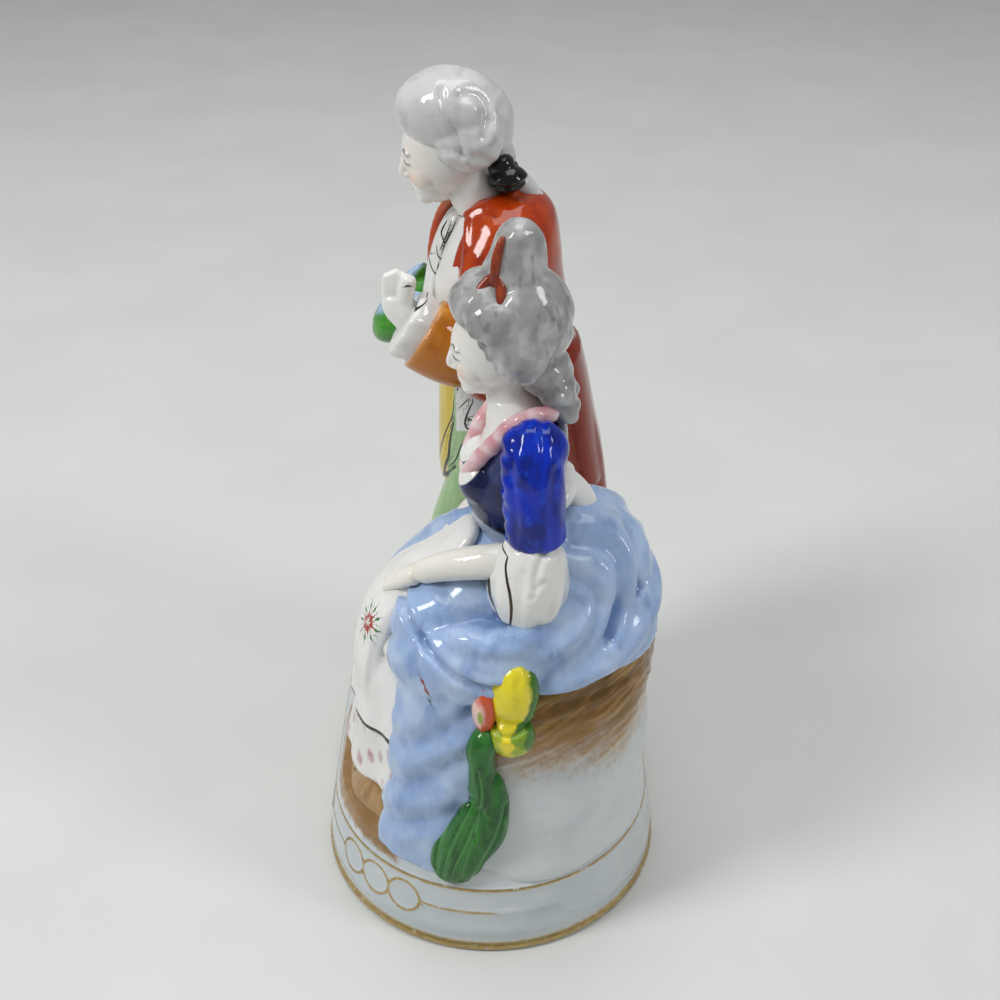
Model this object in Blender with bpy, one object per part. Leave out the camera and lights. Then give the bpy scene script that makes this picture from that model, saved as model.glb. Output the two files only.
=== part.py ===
"""A glazed porcelain figurine, cast as one piece: a lady seated on a rock and a gentleman bowing to her,
on a long plinth with round ends. The figures face -Y, the lady sits at +X and the underside is at z = 0."""

import math

import bmesh
import bpy
from mathutils import Matrix, Vector

# Plinth, in metres
PLINTH_LENGTH = 0.112
PLINTH_DEPTH = 0.0784
PLINTH_HEIGHT = 0.022
BAND_HEIGHT = 0.0155
BEAD_SWELL = 0.0007
UPPER_STEP = 0.0008
WALL_LEAN = 0.0030
FOOT_RING_WIDTH = 0.0055
FOOT_RECESS_DEPTH = 0.0025

# Figures, in metres: how high each one rises over the plinth's top, and where it stands along the plinth
GENTLEMAN_HEIGHT = 0.150
GENTLEMAN_PLACE = -0.027
LADY_HEIGHT = 0.133
LADY_PLACE = 0.018

# The forms of a figure are drawn in millimetres of a figure this high and are scaled to the heights above
DRAWN_GENTLEMAN = 150.0
DRAWN_LADY = 133.0

# How the cast clay is fused and how many triangles its surface keeps
CLAY_GRAIN = 0.0007
SOFTENING = 2
SURFACE_TRIANGLES = 9400

FRONT = Vector((0, -1, 0))
ACROSS = Vector((1, 0, 0))
BACKWARD = Vector((0, 1, 0))
UP = Vector((0, 0, 1))


def clear_scene():
    for thing in list(bpy.data.objects):
        bpy.data.objects.remove(thing)


def eased(value, low, high):
    """0 below low, 1 above high, and a smooth rise between them."""
    share = min(1.0, max(0.0, (value - low) / (high - low)))
    return share * share * (3 - 2 * share)


def through(stations, share):
    """The values a share of the way along a smooth curve through the stations."""
    spans = len(stations) - 1
    place = min(max(share, 0.0), 1.0) * spans
    span = min(int(place), spans - 1)
    t = place - span
    before, start = stations[max(span - 1, 0)], stations[span]
    end, after = stations[span + 1], stations[min(span + 2, spans)]
    found = []
    for p0, p1, p2, p3 in zip(before, start, end, after):
        bend = 2 * p0 - 5 * p1 + 4 * p2 - p3
        twist = 3 * p1 - p0 - 3 * p2 + p3
        found.append(0.5 * (2 * p1 + (p2 - p0) * t + bend * t * t + twist * t ** 3))
    return found


def round_end(share, cap):
    """How much of its width a form keeps near its closed ends."""
    from_end = min(share, 1 - share) / cap
    return 1.0 if from_end >= 1 else math.sqrt(max(0.0, 1 - (1 - from_end) ** 2))


def draw(clay, place, around, along):
    """Adds a closed form: a sphere whose every point goes where place(share along, angle round) puts it."""
    verts = bmesh.ops.create_uvsphere(clay, u_segments=around, v_segments=along, radius=1.0)["verts"]
    for vert in verts:
        share = math.acos(max(-1.0, min(1.0, vert.co.z))) / math.pi
        vert.co = place(share, math.atan2(vert.co.x, -vert.co.y))
    faces = {face for vert in verts for face in vert.link_faces}
    bmesh.ops.recalc_face_normals(clay, faces=list(faces))
    return verts


def sweep(clay, stations, side=ACROSS, around=16, along=18, cap=0.16, relief=None):
    """A limb, fold, lock or leaf: stations of x, y, z, half-width along side and half-width across it."""
    step = 0.5 / along

    def place(share, angle):
        x, y, z, wide, thick = through(stations, share)
        ahead = Vector(through(stations, share + step)[:3])
        behind = Vector(through(stations, share - step)[:3])
        tangent = (ahead - behind).normalized()
        across = (side - tangent * side.dot(tangent)).normalized()
        over = tangent.cross(across)
        size = round_end(share, cap) * (relief(share, angle) if relief else 1.0)
        offset = across * (wide * math.sin(angle)) - over * (thick * math.cos(angle))
        return Vector((x, y, z)) + offset * size

    return draw(clay, place, around, along)


def limb(clay, stations, **more):
    """A round form: stations of x, y, z and radius."""
    return sweep(clay, [(*s, s[3]) for s in stations], **more)


def stack(clay, stations, around=48, along=40, cap=0.05, relief=None, straight=0.0):
    """A body of level rings: stations of x, y, z, half-width across and half-depth. Angle 0 faces -Y."""

    def place(share, angle):
        x, y, z, wide, deep = through(stations, share)
        size = round_end(share, cap) * (relief(share, angle) if relief else 1.0)
        reach = wide * math.sin(angle) * size
        reach += straight * max(-1.0, min(1.0, 4 * math.sin(angle))) * size
        return Vector((x + reach, y - deep * math.cos(angle) * size, z))

    return draw(clay, place, around, along)


def ball(clay, centre, radii, pitch=0.0, around=20, along=14):
    """An ellipsoid, tipped forward by pitch degrees."""
    turn = Matrix.Rotation(math.radians(pitch), 3, "X")

    def place(share, angle):
        ring = math.sin(math.pi * share)
        flat = (ring * math.sin(angle), -ring * math.cos(angle), math.cos(math.pi * share))
        return Vector(centre) + turn @ Vector([r * f for r, f in zip(radii, flat)])

    return draw(clay, place, around, along)


def flutes(count, depth, steady=False, twist=0.0):
    """Relief of flutes that run along a form. They deepen towards its end unless they are steady."""
    def relief(share, angle):
        return 1 + depth * (1.0 if steady else share) * math.cos(count * angle + twist * share)

    return relief


def both_sides(stations):
    """The same stations on the figure's right and on its left."""
    return [stations, [(-s[0], *s[1:]) for s in stations]]


# Gentleman, in drawn millimetres: x towards the lady, y to his back, z up from the plinth's top

def coat_opening(share, angle):
    """The coat lies over the waistcoat, parts in front and swings back towards its hem."""
    from_front = abs(math.degrees(math.atan2(math.sin(angle), math.cos(angle))))
    parting = 38 + 16 * eased(share, 0.08, 0.3) + 62 * eased(share, 0.45, 1.0)
    inner = 0.88 - 0.66 * eased(share, 0.58, 0.85)
    covered = eased(from_front, parting - 4, parting + 4)
    pleat = 0.03 * eased(share, 0.55, 0.8) * math.cos(math.radians(from_front) * 9)
    return inner + (1 - inner) * covered + pleat * covered


def gentleman_body(clay):
    waistcoat = [
        (0, 0.5, 121, 5.5, 5), (0, 1.5, 117, 11, 7.6), (0, 1, 112, 16, 10.4), (0, 0, 104, 16, 13),
        (0, 1, 94, 13.5, 13.5), (0, 2, 87, 12.5, 13.8), (0, 2.5, 78, 14, 14.6), (0, 3, 68, 14.6, 15.4),
        (0, 2.6, 58, 14.6, 15.2), (0, 2.6, 50, 14, 14.6),
    ]
    stack(clay, waistcoat, cap=0.06)
    coat = [
        (0, 1.4, 121.6, 6.4, 6), (0, 1.8, 117.8, 14, 9.2), (0, 1.2, 111.5, 18.5, 12.6),
        (0, 0.8, 104, 17.8, 14.7),
        (0, 3, 93, 14.8, 15.6), (0, 3.6, 87, 14.4, 16.2), (0, 5, 77, 17, 18), (0, 6.5, 62, 19.5, 20.2),
        (0, 7.6, 47, 21, 21.2), (0, 8.5, 33, 22, 21.8),
    ]
    stack(clay, coat, around=72, along=48, cap=0.035, relief=coat_opening)
    collar = [
        (-7, -6, 119.6, 1.4), (-7.8, 0, 122, 1.7), (0, 5.4, 123, 1.7), (7.8, 0, 122, 1.7),
        (7, -6, 119.6, 1.4),
    ]
    limb(clay, collar, side=UP, along=26)
    for button in both_sides([(8.5, 16.6, 87.5)]):
        ball(clay, button[0], (2.2, 2.0, 2.2))


def gentleman_jabot(clay):
    fall = [
        (0, -5.8, 119.5, 3.6, 2.4), (0, -9.6, 113, 4.4, 2.6), (0, -12.6, 106, 5.2, 2.6),
        (0, -14, 99, 6.2, 2.6),
        (0, -14, 95, 6.4, 2.2),
    ]
    sweep(clay, fall, around=28, along=22, relief=flutes(7, 0.10))
    for x in (-4.2, 0, 4.2):
        ball(clay, (x, -14.8, 96), (2.3, 1.8, 2.6))


def gentleman_legs(clay):
    for side, lead in ((1, 0.0), (-1, 4.5)):
        thigh = [(7 * side, 1, 62, 8), (7.4 * side, -4 + lead * 0.5, 50, 8), (8 * side, -8.6 + lead, 38, 7)]
        limb(clay, thigh + [(8.2 * side, -8 + lead, 33.5, 6)])
        calf = [
            (8.2 * side, -7.4 + lead, 34, 5.2), (8.3 * side, -5.6 + lead, 24, 5),
            (8.4 * side, -5.6 + lead, 14, 3.9),
            (8.4 * side, -6 + lead, 3, 3.5),
        ]
        limb(clay, calf)
        shoe = [
            (8.4 * side, -2.2 + lead, 2.8, 3.2, 3.4), (8.6 * side, -7 + lead, 2.8, 3.7, 3.4),
            (9.2 * side, -13 + lead, 1.6, 4, 2.6), (9.4 * side, -17 + lead, 1, 2.6, 2),
        ]
        sweep(clay, shoe)
        ball(clay, (8.7 * side, -9.4 + lead, 5.2), (2.3, 1.5, 1.6))
    stump = [(0, 8, 46, 9, 9), (0, 8, 30, 13, 11), (0, 7, 12, 15, 13), (0, 6, -4, 18, 17)]
    stack(clay, stump, relief=lambda share, angle: 1 + 0.05 * math.sin(5 * angle + 9 * share))


def arm(clay, shoulder, elbow, cuff_end, ruffle_end):
    """A coat sleeve from shoulder to elbow and on to a turned-back cuff and a lace ruffle."""
    shoulder, elbow, cuff_end, ruffle_end = (Vector(p) for p in (shoulder, elbow, cuff_end, ruffle_end))
    bulge = (shoulder + elbow) / 2 + Vector((0.6 if elbow.x > 0 else -0.6, 1.6, 0))
    upper = [(*shoulder, 6.4), (*bulge, 6.3), (*elbow, 5.8), (*elbow.lerp(cuff_end, 0.55), 5.6)]
    limb(clay, upper, along=24)
    cuff = [(*elbow.lerp(cuff_end, s), r) for s, r in ((0.28, 6.0), (0.5, 7.4), (0.8, 8.1), (1.0, 8.3))]
    limb(clay, cuff, around=24, cap=0.07)
    lace = [(*cuff_end.lerp(ruffle_end, s), r) for s, r in ((-0.5, 6.4), (0.2, 7.2), (0.7, 7.6), (1.0, 7.4))]
    limb(clay, lace, around=40, cap=0.06, relief=flutes(9, 0.05))


def open_hand(clay, wrist, palm, fingers, thumb):
    """A small hand: wrist, palm, fingers held together and a thumb apart."""
    wrist, palm, fingers, thumb = (Vector(p) for p in (wrist, palm, fingers, thumb))
    blade = [(*wrist, 2.6, 2.6), (*wrist.lerp(palm, 0.6), 3.0, 2.5), (*palm, 3.4, 2.4)]
    blade += [(*palm.lerp(fingers, 0.55), 3.1, 1.9), (*fingers, 2.0, 1.4)]
    sweep(clay, blade)
    limb(clay, [(*palm.lerp(wrist, 0.3), 1.8), (*palm.lerp(thumb, 0.6), 1.6), (*thumb, 1.2)])


def gentleman_arms(clay):
    arm(clay, (15.5, 3, 112.5), (20.5, 1, 88.8), (19.4, -12, 97), (19, -17, 100.5))
    open_hand(clay, (19, -15, 99), (18.6, -19.2, 104.5), (18.4, -20.4, 112.6), (18.6, -16.8, 111))
    arm(clay, (-15.5, 3, 112.5), (-20.5, 2, 88), (-15, -11, 88.5), (-12.6, -15.5, 89))
    open_hand(clay, (-13, -15, 89), (-10.5, -18.6, 90.5), (-7, -22.5, 93), (-7.5, -18, 95))


def gentleman_hat(clay):
    """His hat, held upside down: a boat-shaped crown with its cocked brim uppermost."""
    ball(clay, (-8.5, -20.3, 91), (9, 10, 5), pitch=37)
    corners = [(-8.5, -28.6, 88.2), (1.5, -15.5, 98), (-18.5, -15.5, 98)]
    middle = Vector((-8.5, -19.9, 94.7))
    for start, end in zip(corners, corners[1:] + corners[:1]):
        bow = (Vector(start) + Vector(end)) / 2
        bow = bow.lerp(middle, 0.25) + Vector((0, -0.6, 0.8)) * 1.5
        limb(clay, [(*start, 1.7), (*bow, 2.0), (*end, 1.7)])


def gentleman_head(clay):
    limb(clay, [(0, 1, 114, 6.6), (0, -3, 122, 5.6), (0, -6.5, 130, 5.4)])
    ball(clay, (0, -9.8, 130.8), (8.3, 9.4, 11.2), pitch=14)
    ball(clay, (0, -12.4, 124.6), (5.4, 4.8, 4.6), pitch=20)
    limb(clay, [(0, -17.4, 133.6, 1.2), (0, -18.4, 130, 1.7), (0, -18.9, 127.6, 2.0)])


def gentleman_wig(clay):
    ball(clay, (0, -8.6, 137.4), (10.4, 11.4, 11.3), pitch=16, around=28, along=20)
    roll = [
        (-8.6, -13, 136.6, 2.8), (-5, -16.6, 140, 3), (0, -17.6, 141, 3), (5, -16.6, 140, 3),
        (8.6, -13, 136.6, 2.8),
    ]
    limb(clay, roll, side=UP)
    for side in (-1, 1):
        ball(clay, (9 * side, -7, 131.8), (2.4, 6, 4), pitch=8)
        ball(clay, (7.6 * side, -2.8, 135.6), (3.6, 5.6, 6.4))
    limb(clay, [(0, -2.4, 134.5, 6.4), (0, 1.2, 130, 4.6), (0, 4, 127.4, 3)])
    queue = [
        (0, 4.6, 126.4, 2.6), (0, 8.4, 122.8, 2.3), (0, 11, 118.6, 2.2), (0, 12.6, 113.6, 1.8),
        (0, 13, 109, 1.1),
    ]
    limb(clay, queue)


def gentleman_bow(clay):
    for side in (-1, 1):
        loop = [
            (1.0 * side, 4.6, 125.6, 2.0, 2.0), (4.2 * side, 4.4, 125.8, 3.2, 3.6),
            (7.2 * side, 4.8, 125, 2.1, 2.7),
        ]
        sweep(clay, loop, side=BACKWARD)
    ball(clay, (0, 5, 125.6), (2.4, 2.8, 2.8))


def gentleman(clay):
    for form in (
        gentleman_body, gentleman_jabot, gentleman_legs, gentleman_arms, gentleman_hat, gentleman_head,
        gentleman_wig, gentleman_bow,
    ):
        form(clay)


# Lady, in drawn millimetres: x away from the gentleman, y to her back, z up from the plinth's top

def rock_ledges(share, angle):
    strata = math.sin(22 * share + 1.5 * math.sin(2 * angle))
    knots = math.sin(7 * angle + 8 * share)
    return 1 + 0.018 * strata + 0.012 * knots


def lady_rock(clay):
    rock = [
        (-2, 8, 50, 10, 12), (-2, 6, 43, 21, 24), (-1.6, 4.6, 37, 26.6, 31), (-0.6, 4.4, 29, 28.4, 31.2),
        (0.6, 4.4, 19, 29.8, 31.2), (1.4, 4.2, 9, 31, 30.6), (2, 4.2, 1, 31.8, 31.2), (2, 4.2, -8, 32, 31.4),
    ]
    stack(clay, rock, relief=rock_ledges)
    saddle = [
        (-23, 8, 66, 7, 8), (-23, 8, 58, 10, 12), (-23, 8, 42, 11, 15), (-23, 8, 22, 12, 17),
        (-23, 7, 2, 13, 21), (-23, 7, -8, 13, 21),
    ]
    stack(clay, saddle, relief=rock_ledges)


def hem_folds(share, angle):
    """Folds that deepen towards the hem."""
    wave = math.cos(11 * angle + 0.8 * math.sin(3 * angle)) + 0.5 * math.cos(17 * angle + 1)
    return 1 + 0.026 * eased(share, 0.3, 1.0) * wave


def lady_skirt(clay):
    skirt = [
        (0, 8, 59, 7, 7), (0, 3, 53.5, 14, 15), (0, -2.6, 46.4, 17.5, 20), (0, -7.4, 38.6, 18.4, 21.4),
        (-1, -9.4, 27, 19, 20.2),
        (-1, -12, 12, 20, 19.6), (-1, -14, 1, 21.5, 20.2),
    ]
    stack(clay, skirt, around=72, relief=hem_folds)
    for x in (-9, 9):
        thigh = [(x, 5, 46.6, 9), (x, -6, 44.6, 9.2), (x * 0.95, -16, 42.4, 8.8), (x * 0.95, -23, 38.4, 7)]
        limb(clay, thigh)
    apron = [
        (2, -9, 50, 9, 4.5), (3, -20.6, 45.6, 11, 4.6), (3.5, -25.4, 35, 12, 5), (4, -25, 20, 13, 5.6),
        (5, -26, 9, 14.5, 6.4),
    ]
    sweep(clay, apron, around=40, along=26, cap=0.05, relief=flutes(13, 0.03))
    for x in (-5, 6):
        ball(clay, (x, -31, 1.6), (2.8, 4.2, 2.2))


def swirl(share, angle):
    """Gathers that run down and back from the waist, and a soft groove above the turned-under lower edge."""
    gather = 0.045 * math.sin(5 * angle + 15 * share) * eased(share, 0.1, 0.35)
    return 1 + gather - 0.03 * math.exp(-((share - 0.74) / 0.06) ** 2)


def lady_overskirt(clay):
    puff = [
        (0, 8, 66, 9, 9), (0, 10.4, 63.4, 15, 15.4), (0, 12.2, 59, 20.4, 20.4), (0.4, 13, 53, 24.6, 23),
        (0.8, 12.8, 46, 26.4, 23.6), (0.8, 12, 40, 26.2, 23.8), (0.4, 11, 35.4, 24.6, 23.8),
        (0, 10, 32.6, 22, 22),
    ]
    stack(clay, puff, around=72, relief=swirl)
    roll = [
        (7, -21.4, 42, 5.6), (13.6, -16.4, 43.6, 8.6), (18.4, -8, 45.2, 10), (19.4, 2, 46.4, 10),
        (17, 12, 48, 8),
    ]
    limb(clay, roll, side=UP, around=32, along=40)
    crease = [
        (10, -20.4, 47, 3.2), (18.4, -13.4, 50.4, 3.6), (23.4, -4, 52.4, 3.8), (24, 6, 53.6, 3.6),
        (20, 16, 56, 3),
    ]
    limb(clay, crease, side=UP, along=36)
    ball(clay, (1, 19.6, 57), (19, 15.6, 12.4), pitch=-12, around=32, along=20)
    ball(clay, (0, -6, 51), (12, 10, 7))
    panel = [
        (20, -10, 44, 9, 4.5), (23.4, -10.6, 34, 9.8, 4.4), (25.4, -12, 20, 10, 4.4),
        (26.6, -14, 8, 9.8, 4.2),
        (27.6, -16, -3.6, 10, 3.6),
    ]
    corner = Vector((0.42, 0.91, 0))
    sweep(clay, panel, side=corner, around=36, along=28, cap=0.05, relief=flutes(7, 0.05, steady=True))


def lady_bodice(clay):
    torso = [
        (0, 3.4, 98, 4.2, 4.2), (0, 5.5, 94.6, 7.5, 5.6), (0, 7.6, 91.4, 12.4, 7.6), (0, 6.8, 85, 12.8, 9.2),
        (0, 5, 78, 12, 10.6), (0, 5.6, 71, 10.2, 9.6), (0, 7, 64, 8.8, 8.2), (0, 7, 58, 9.8, 9.2),
        (0, 7, 53, 11, 10.4),
    ]
    stack(clay, torso, around=40)
    for x in (-4.6, 4.6):
        ball(clay, (x, -1.4, 80), (5.2, 4.8, 5))
    basque = [(0, 7, 66, 9, 8.6), (0, 7.4, 62.5, 10.6, 10.2), (0, 7.6, 60.5, 10.4, 10.2)]
    stack(clay, basque, along=16, cap=0.2, relief=flutes(9, 0.03, steady=True))
    neckline = [
        (2.2, -5.4, 77, 1.5), (5.6, -4.8, 82, 1.6), (9.4, 0.5, 89, 1.8), (10.4, 7, 93.4, 1.9),
        (7, 12.6, 95, 2.0), (0, 14.4, 95.4, 2.0),
    ]
    for edge in both_sides(neckline):
        limb(clay, edge, along=30)


def lady_neck_and_head(clay):
    limb(clay, [(0, 4.4, 93, 4.6), (0, 3.2, 98, 3.9), (0, 3.4, 104, 4.2)])
    ball(clay, (0, 1.4, 107.6), (7.6, 9, 10), pitch=6)
    ball(clay, (0, -2.4, 101.6), (4.9, 4.6, 4.2), pitch=14)
    limb(clay, [(0, -6.2, 109.6, 1.1), (0, -7, 106.8, 1.6), (0, -7.4, 104.8, 1.8)])


def lady_hair(clay):
    ball(clay, (0, 5, 112.2), (10.6, 11.2, 11.8), pitch=-6, around=28, along=20)
    ball(clay, (0, -2, 115.8), (8.8, 7, 6.2))
    topknot = [(0, 4.6, 119, 8), (0, 5.4, 124, 5.8), (0, 5.8, 129, 4.7), (0, 6, 132.8, 3.2)]
    limb(clay, topknot, cap=0.3, relief=flutes(5, 0.05, steady=True, twist=6))
    for centre, radii in (
        ((0, 10.6, 102.4), (6.6, 5.8, 5)), ((3, 13.4, 99.4), (5, 3.8, 3.8)),
        ((-3, 13.2, 99.6), (5, 3.8, 3.8)),
        ((3.4, 15, 95.6), (3.6, 3, 3.2)), ((-3, 15, 96), (3.6, 3, 3.2)),
    ):
        ball(clay, centre, radii)
    for side in (-1, 1):
        ball(clay, (9.2 * side, 4, 108), (2.6, 5.6, 5.4))
    ribbon = [
        [(3.4, -2.2, 119.4, 1.3, 0.9), (4.4, -1.2, 124, 1.9, 1.1), (3.6, 1.0, 129, 1.0, 0.8)],
        [(4.6, -3.6, 121.4, 1.1, 0.8), (6.2, -4.0, 118.6, 1.5, 1.0), (7.4, -3.0, 115.6, 0.9, 0.8)],
        [(0.5, -3.4, 121.6, 1.0, 0.8), (-2.2, -3.8, 119.6, 1.6, 1.0), (-4.2, -3.2, 117.2, 0.9, 0.8)],
    ]
    for petal in ribbon:
        sweep(clay, petal, side=BACKWARD)


def lady_arm(clay, side):
    """A fitted sleeve to the elbow, a bell-shaped lace ruffle and a bare forearm in her lap."""
    sleeve = [
        (8.6 * side, 7.6, 91.6, 4.6), (13 * side, 8.4, 88.4, 6.2), (15.6 * side, 9.2, 80, 6.1),
        (16.6 * side, 9.6, 71, 5.9),
    ]
    limb(clay, sleeve, around=24, along=24, cap=0.1, relief=flutes(6, 0.02, steady=True, twist=20))
    ruffle = [
        (16.6 * side, 9.4, 73.4, 5.4), (17.2 * side, 8.4, 68, 7.4), (18 * side, 7.6, 62, 8),
        (18.6 * side, 6.4, 56, 5.6),
    ]
    limb(clay, ruffle, around=36, along=22, cap=0.1, relief=flutes(8, 0.05))
    if side > 0:
        forearm = [(16, 8, 67.4, 4), (15, -1, 65.6, 3.6), (12.6, -9, 61.8, 3.1), (9.6, -15.4, 57.4, 2.5)]
        hand = [
            (10, -14.4, 57.8, 2.5, 2.2), (7.8, -17.2, 56, 3.2, 1.9), (5.2, -19.8, 53.4, 2.8, 1.5),
            (3.2, -21.4, 51, 1.6, 1.1),
        ]
    else:
        forearm = [(-16, 8, 67.4, 4), (-14, 1, 65, 3.7), (-10, -5, 61, 3.3), (-5, -9.6, 58, 2.6)]
        hand = [
            (-5.4, -9.4, 58.2, 2.5, 2.2), (-2.6, -11.6, 57, 3, 1.9), (0.4, -13.4, 55.8, 2.6, 1.5),
            (2.8, -15, 54.2, 1.5, 1.1),
        ]
    limb(clay, forearm, along=20)
    sweep(clay, hand)


def sprig(clay):
    """The moulded flower on the rock: a bud, an open bloom and a knob beside it, a stem and two long leaves."""
    ball(clay, (27.4, 5, 43.6), (4.2, 5, 7.2), pitch=-6)
    ball(clay, (29, 5, 36), (3.8, 4, 3.6))
    ball(clay, (28.2, -0.8, 41.4), (3, 2.6, 4.2))
    limb(clay, [(29, 1.2, 35, 2.8), (29.8, -0.4, 30, 2.8), (30.6, -0.2, 23, 3), (31.6, 0, 16, 3.2)])
    leaf_side = Vector((0.1, 0.9, 0.35))
    leaves = [
        [(30.6, 1, 25, 2.2, 1.8), (31.6, 2.4, 17, 3.8, 2.4), (32.6, 1.2, 9, 4.2, 2.6), (33.2, -3, 2, 2.2, 1.8)],
        [
            (31.4, -1.6, 18, 2.4, 2), (32.4, -4.6, 9, 5.2, 2.8), (33.2, -7.4, 1.4, 5.6, 2.8),
            (33.6, -8.6, -3.6, 3, 2),
        ],
    ]
    for leaf in leaves:
        sweep(clay, leaf, side=leaf_side, around=28, along=22, relief=flutes(9, 0.05, steady=True))


def lady(clay):
    for form in (lady_rock, lady_skirt, lady_overskirt, lady_bodice, lady_neck_and_head, lady_hair, sprig):
        form(clay)
    for side in (-1, 1):
        lady_arm(clay, side)


# Plinth and casting, in metres

def plinth(clay):
    """The moulded plinth: a bead at the foot, a plain band, a step and a gently domed top."""
    half = PLINTH_DEPTH / 2
    straight = (PLINTH_LENGTH - PLINTH_DEPTH) / 2
    shoulder = half - WALL_LEAN - UPPER_STEP
    outline = [
        (PLINTH_HEIGHT + 0.0009, shoulder * 0.45), (PLINTH_HEIGHT + 0.0006, shoulder * 0.86),
        (PLINTH_HEIGHT - 0.0012, shoulder - 0.0006), (BAND_HEIGHT + 0.0032, shoulder),
        (BAND_HEIGHT + 0.0010, half - WALL_LEAN), (BAND_HEIGHT, half - WALL_LEAN + BEAD_SWELL),
        (BAND_HEIGHT - 0.0014, half - WALL_LEAN * 0.8), (BAND_HEIGHT * 0.5, half - WALL_LEAN * 0.4),
        (0.0030, half - BEAD_SWELL), (0.0014, half), (0.0, half - BEAD_SWELL), (-0.0020, half - BEAD_SWELL),
    ]
    rings = [(0.0, 0.0, z, reach, reach) for z, reach in outline]
    stack(clay, rings, around=96, along=66, cap=0.015, straight=straight)


def fuse(name, clay):
    """Melts overlapping forms into one skin, softened like fired glaze, of a limited number of triangles."""
    mesh = bpy.data.meshes.new(name)
    clay.to_mesh(mesh)
    clay.free()
    cast = bpy.data.objects.new(name, mesh)
    bpy.context.scene.collection.objects.link(cast)
    melt = cast.modifiers.new("Fuse", "REMESH")
    melt.mode = "VOXEL"
    melt.voxel_size = CLAY_GRAIN
    soften = cast.modifiers.new("Soften", "SMOOTH")
    soften.iterations = round(SOFTENING)
    thin = cast.modifiers.new("Thin", "DECIMATE")
    graph = bpy.context.evaluated_depsgraph_get()
    fine = cast.evaluated_get(graph)
    thin.ratio = min(1.0, SURFACE_TRIANGLES / (2.0 * len(fine.data.polygons)))
    graph = bpy.context.evaluated_depsgraph_get()
    solid = bpy.data.meshes.new_from_object(cast.evaluated_get(graph))
    cast.modifiers.clear()
    cast.data = solid
    return cast


def trim_foot(cast):
    """Cuts the underside flat at z = 0 and sinks its middle, which leaves a foot ring."""
    shape = bmesh.new()
    shape.from_mesh(cast.data)
    everything = shape.verts[:] + shape.edges[:] + shape.faces[:]
    cut = bmesh.ops.bisect_plane(
        shape, geom=everything, dist=1e-6, plane_co=(0, 0, 0), plane_no=-UP, clear_outer=True
    )
    rim = [part for part in cut["geom_cut"] if isinstance(part, bmesh.types.BMEdge)]
    bmesh.ops.contextual_create(shape, geom=rim)
    bmesh.ops.triangulate(shape, faces=[face for face in shape.faces if len(face.verts) > 4])
    shape.to_mesh(cast.data)
    shape.free()
    sink = bmesh.new()
    reach = PLINTH_DEPTH / 2 - FOOT_RING_WIDTH
    straight = (PLINTH_LENGTH - PLINTH_DEPTH) / 2
    rings = [
        (0, 0, FOOT_RECESS_DEPTH, reach - 0.0015, reach - 0.0015),
        (0, 0, -FOOT_RECESS_DEPTH, reach, reach),
    ]
    stack(sink, rings, around=48, along=10, cap=0.12, straight=straight)
    mesh = bpy.data.meshes.new("foot recess")
    sink.to_mesh(mesh)
    sink.free()
    cutter = bpy.data.objects.new("foot_recess", mesh)
    bpy.context.scene.collection.objects.link(cutter)
    cutter.hide_render = True
    cutter.display_type = "WIRE"
    recess = cast.modifiers.new("Foot recess", "BOOLEAN")
    recess.operation = "DIFFERENCE"
    recess.object = cutter


def glaze(cast):
    """Clear glaze over white porcelain."""
    material = bpy.data.materials.new("glazed porcelain")
    material.use_nodes = True
    shader = material.node_tree.nodes["Principled BSDF"]
    shader.inputs["Base Color"].default_value = (0.82, 0.83, 0.82, 1)
    shader.inputs["Roughness"].default_value = 0.12
    shader.inputs["Metallic"].default_value = 0.0
    cast.data.materials.clear()
    cast.data.materials.append(material)
    cast.data.shade_smooth()
    cast.data.set_sharp_from_angle(angle=math.radians(50))


def placed(figure, drawn_height, height, place):
    """A figure's forms at their real size, standing on the plinth's top."""
    clay = bmesh.new()
    figure(clay)
    size = height / drawn_height
    where = Matrix.Translation((place, 0, PLINTH_HEIGHT)) @ Matrix.Scale(size, 4)
    bmesh.ops.transform(clay, matrix=where, verts=clay.verts)
    mesh = bpy.data.meshes.new(figure.__name__)
    clay.to_mesh(mesh)
    clay.free()
    return mesh


def main():
    clear_scene()
    clay = bmesh.new()
    plinth(clay)
    for mesh in (
        placed(gentleman, DRAWN_GENTLEMAN, GENTLEMAN_HEIGHT, GENTLEMAN_PLACE),
        placed(lady, DRAWN_LADY, LADY_HEIGHT, LADY_PLACE),
    ):
        clay.from_mesh(mesh)
        bpy.data.meshes.remove(mesh)
    cast = fuse("courting_couple", clay)
    trim_foot(cast)
    glaze(cast)


main()
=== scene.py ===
import math

import bmesh
import bpy
import numpy as np
from mathutils import Matrix, Vector


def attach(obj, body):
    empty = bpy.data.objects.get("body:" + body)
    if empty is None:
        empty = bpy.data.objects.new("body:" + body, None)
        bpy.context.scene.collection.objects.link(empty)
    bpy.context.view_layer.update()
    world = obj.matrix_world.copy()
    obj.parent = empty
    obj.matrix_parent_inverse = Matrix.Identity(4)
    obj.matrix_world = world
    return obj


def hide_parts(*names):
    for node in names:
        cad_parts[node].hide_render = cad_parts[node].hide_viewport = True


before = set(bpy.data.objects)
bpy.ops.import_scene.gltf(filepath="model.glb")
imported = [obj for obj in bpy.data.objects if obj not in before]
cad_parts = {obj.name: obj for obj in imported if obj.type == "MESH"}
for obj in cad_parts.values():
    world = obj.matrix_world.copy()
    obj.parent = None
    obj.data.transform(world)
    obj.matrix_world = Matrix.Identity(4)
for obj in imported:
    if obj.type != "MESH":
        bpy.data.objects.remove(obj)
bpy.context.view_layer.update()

couple = "courting_couple"  # the cast solid that all the pieces here stand for

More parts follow.
